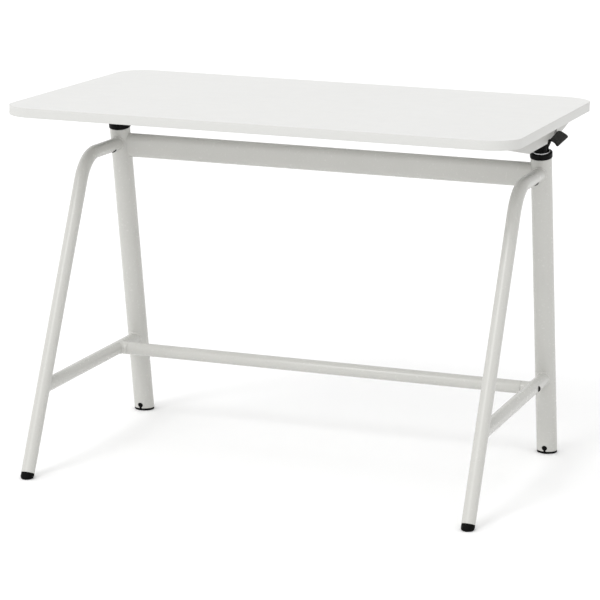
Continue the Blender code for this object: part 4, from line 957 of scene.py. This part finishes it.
def make_screws():
    """Every screw of the table."""
    beam, bar, wood, bolt = (screw_mesh(*sizes) for sizes in SCREWS)
    face_back = Matrix.Rotation(-QUARTER, 4, "X")
    face_down = Matrix.Rotation(math.pi, 4, "X")
    bar_seat = FRAME_X - math.sqrt((RUNG_R - RUNG_WALL) ** 2 - BAR_SCREW_HEAD_R ** 2) + GAP
    for name, sign in SIDES:
        x = sign * (FRAME_X - COLUMN_R - BEAM_SCREW_IN)
        for label, rise, turn in (("lower", -BEAM_SCREW_RISE, 0.3),
                                  ("upper", BEAM_SCREW_RISE, 0.9)):
            spot = Matrix.Translation((x, BEAM_DEPTH / 2 + GAP, BEAM_ALONG + rise))
            spin = Matrix.Rotation(turn + sign * 0.2, 4, "Z")
            put_screw(beam, f"beam_bolt_{name}_{label}", f"beam_screw_{name}_{label}",
                      column_matrix(0) @ spot @ face_back @ spin, "base_frame")
        spot = Matrix.Translation((sign * bar_seat, BAR_Y, RUNG_Z))
        put_screw(bar, f"bar_bolt_{name}", f"bar_screw_{name}",
                  spot @ Matrix.Rotation(sign * QUARTER, 4, "Y"), "base_frame")
        spot = Matrix.Translation((-sign * (ARM_HALF_X + GAP), 0.0, HEAD_BOLT_ALONG))
        put_screw(bolt, f"arm_bolt_{name}", f"head_bolt_{name}",
                  column_matrix(sign) @ spot @ Matrix.Rotation(-sign * QUARTER, 4, "Y"), "lift")
        for row, y in zip(("front", "rear"), ARM_SCREW_Y):
            for label, side in (("inner", -sign), ("outer", sign)):
                spot = Matrix.Translation((sign * FRAME_X + side * ARM_SCREW_X, y,
                                           BOARD_LOW_Z - 2 * GAP - ARM_WALL))
                spin = Matrix.Rotation(y * 9 + side * 0.7, 4, "Z")
                put_screw(wood, f"wood_screw_{name}_{row}_{label}",
                          f"board_screw_{name}_{row}_{label}", spot @ face_down @ spin, "lift")


def cable_route():
    """Route of the release cable, with the same guide points as the CAD's."""
    start = column_matrix(1) @ Vector((-CABLE_POCKET - 0.0005, CABLE_SIDE, CABLE_ALONG))
    run_y, run_z = start.y + 0.008, BOARD_LOW_Z - CABLE_DROP
    guides = [start, start + Vector((-0.010, 0, 0)), start + Vector((-0.020, 0, 0)),
              start + Vector((-0.048, 0.001, 0.007)),
              Vector((FRAME_X - 0.090, start.y + 0.005, BOARD_LOW_Z - 0.011)),
              Vector((CLIP_X, run_y, run_z)), Vector((CLIP_X / 2, run_y, run_z))]
    mirrored = [Vector((-p.x, p.y, p.z)) for p in reversed(guides)]
    points = guides + [Vector((0, run_y, run_z))] + mirrored
    ends = [points[0] * 2 - points[1]] + points + [points[-1] * 2 - points[-2]]
    route = []
    for a, b, c, d in zip(ends, ends[1:], ends[2:], ends[3:]):
        for i in range(10):
            t = i / 10
            slope, curve, twist = c - a, a * 2 - b * 5 + c * 4 - d, b * 3 - a - c * 3 + d
            route.append((b * 2 + slope * t + curve * t ** 2 + twist * t ** 3) / 2)
    return route + [points[-1]]


def make_cable():
    """The release cable's sheath and a ribbed ferrule where it leaves each arm."""
    add_piece("release_sheath", skin(rings_along(cable_route(), CABLE_R, 24)), "lift",
              "cable_sheath", "release_cable")
    profile = [(0.0023, 0.0)]
    for i in range(FERRULE_RIBS):
        z = 0.0002 + i * FERRULE_PITCH
        profile += [(0.0031, z), (0.0031, z + 0.0008), (0.0028, z + 0.0010), (0.0028, z + 0.0014)]
    profile += [(0.0024, FERRULE_LENGTH), (0.0023, FERRULE_LENGTH)]
    for name, sign in SIDES:
        start = Matrix.Translation((-sign * (ARM_HALF_X + 2 * GAP), CABLE_SIDE, CABLE_ALONG))
        matrix = column_matrix(sign) @ start @ Matrix.Rotation(-sign * QUARTER, 4, "Y")
        add_piece(f"cable_ferrule_{name}", lathe(profile, PLUG_SIDES), "lift", "black_plastic",
                  matrix=matrix)


# ---- build
for side_name, side_sign in SIDES:
    for make in (make_column, make_column_foot, make_leg, make_leg_cap, make_rung, make_stub,
                 make_collar, make_inner_tube, make_arm):
        make(side_name, side_sign)
    refined(f"lift_head_{side_name}", f"moulded_head_{side_name}", "black_plastic", "lift", 0.0006)
    refined(f"cable_clip_{side_name}", f"saddle_clip_{side_name}", "black_plastic", "lift",
            0.0009, 3)
for make in (make_bar, make_beam, make_board, make_screws, make_cable, make_lever):
    make()
refined("cable_rocker", "valve_rocker", "lever_plastic", "rocker", 0.0004)

# CAD nodes that no piece stands for get the same finishes.
for entry in frame["record"]["subparts"]:
    node = frame["nodes"][entry["node"]]
    if node.hide_render:
        continue
    node.data.materials.clear()
    node.data.materials.append(MATERIALS[entry["material_slot"]])
    node.data.shade_smooth()
    node.data.set_sharp_from_angle(angle=math.radians(CAD_SMOOTH_BELOW))

# ---- floor
FLOOR_SIZE, FLOOR_DROP = 80.0, 0.0004
floor_material, floor_tree, floor_shader, floor_coords = new_material("pale_floor")
floor_cloud = noise(floor_tree, floor_coords, 0.6, 2.0)
floor_tree.links.new(ramp(floor_tree, floor_cloud, [(0.2, 0.955), (0.8, 0.965)]),
                     floor_shader.inputs["Base Color"])
floor_shader.inputs["Roughness"].default_value = 0.9
bpy.ops.mesh.primitive_plane_add(size=FLOOR_SIZE, location=(0.0, 0.0, -FLOOR_DROP))
floor = bpy.context.object
floor.name = "floor"
floor.data.materials.append(floor_material)

# ---- light
WORLD_LEVELS = (0.73, 1.31)                   # away from the bright side of the room, and at it
BRIGHT_SIDE = (-0.52, -0.81, 0.27)            # ahead of the table, to its left and above
KEY_AZIMUTH, KEY_RISE, KEY_SPREAD = -17.0, 42.0, 18.0     # degrees
KEY_LEVEL, KEY_AWAY = 0.20, 6.0
world = bpy.data.worlds.new("studio")
world.use_nodes = True
sky = world.node_tree
sky_way = sky.nodes.new("ShaderNodeTexCoord").outputs["Generated"]
front = sky.nodes.new("ShaderNodeVectorMath")
front.operation = "DOT_PRODUCT"
front.inputs[1].default_value = BRIGHT_SIDE
sky.links.new(sky_way, front.inputs[0])
level = sky.nodes.new("ShaderNodeMapRange")
for socket, value in zip(("From Min", "From Max", "To Min", "To Max"), (-1.0, 1.0, *WORLD_LEVELS)):
    level.inputs[socket].default_value = value
sky.links.new(front.outputs["Value"], level.inputs["Value"])
sky.links.new(level.outputs["Result"], sky.nodes["Background"].inputs["Strength"])
sky.nodes["Background"].inputs["Color"].default_value = (1.0, 1.0, 1.0, 1.0)
bpy.context.scene.world = world
bpy.context.scene.view_settings.view_transform = "Standard"

key_data = bpy.data.lights.new("key", "SUN")
key_data.angle = math.radians(KEY_SPREAD)
key_data.energy = KEY_LEVEL * math.pi
key = bpy.data.objects.new("key", key_data)
bpy.context.scene.collection.objects.link(key)
key_way = heading(math.radians(-KEY_AZIMUTH), math.radians(-KEY_RISE))
key.location = key_way * -KEY_AWAY
key.rotation_euler = key_way.to_track_quat("-Z", "Y").to_euler()

# ---- camera
CAMERA_PLACE = (1.680213, -4.907219, 1.433483)
CAMERA_YAW, CAMERA_PITCH, CAMERA_ROLL = -0.329805, 0.209856, 0.020458
CAMERA_LENS, SENSOR = 162.613, 36.0
look = heading(CAMERA_YAW, -CAMERA_PITCH)
level_right = Vector((math.cos(CAMERA_YAW), -math.sin(CAMERA_YAW), 0.0))
level_up = level_right.cross(look)
right = level_right * math.cos(CAMERA_ROLL) + level_up * math.sin(CAMERA_ROLL)
upright = level_up * math.cos(CAMERA_ROLL) - level_right * math.sin(CAMERA_ROLL)
camera_data = bpy.data.cameras.new("camera")
camera_data.lens, camera_data.sensor_width = CAMERA_LENS, SENSOR
camera = bpy.data.objects.new("camera", camera_data)
bpy.context.scene.collection.objects.link(camera)
turn = Matrix((right, upright, -look)).transposed().to_4x4()
camera.matrix_world = Matrix.Translation(CAMERA_PLACE) @ turn
bpy.context.scene.camera = camera
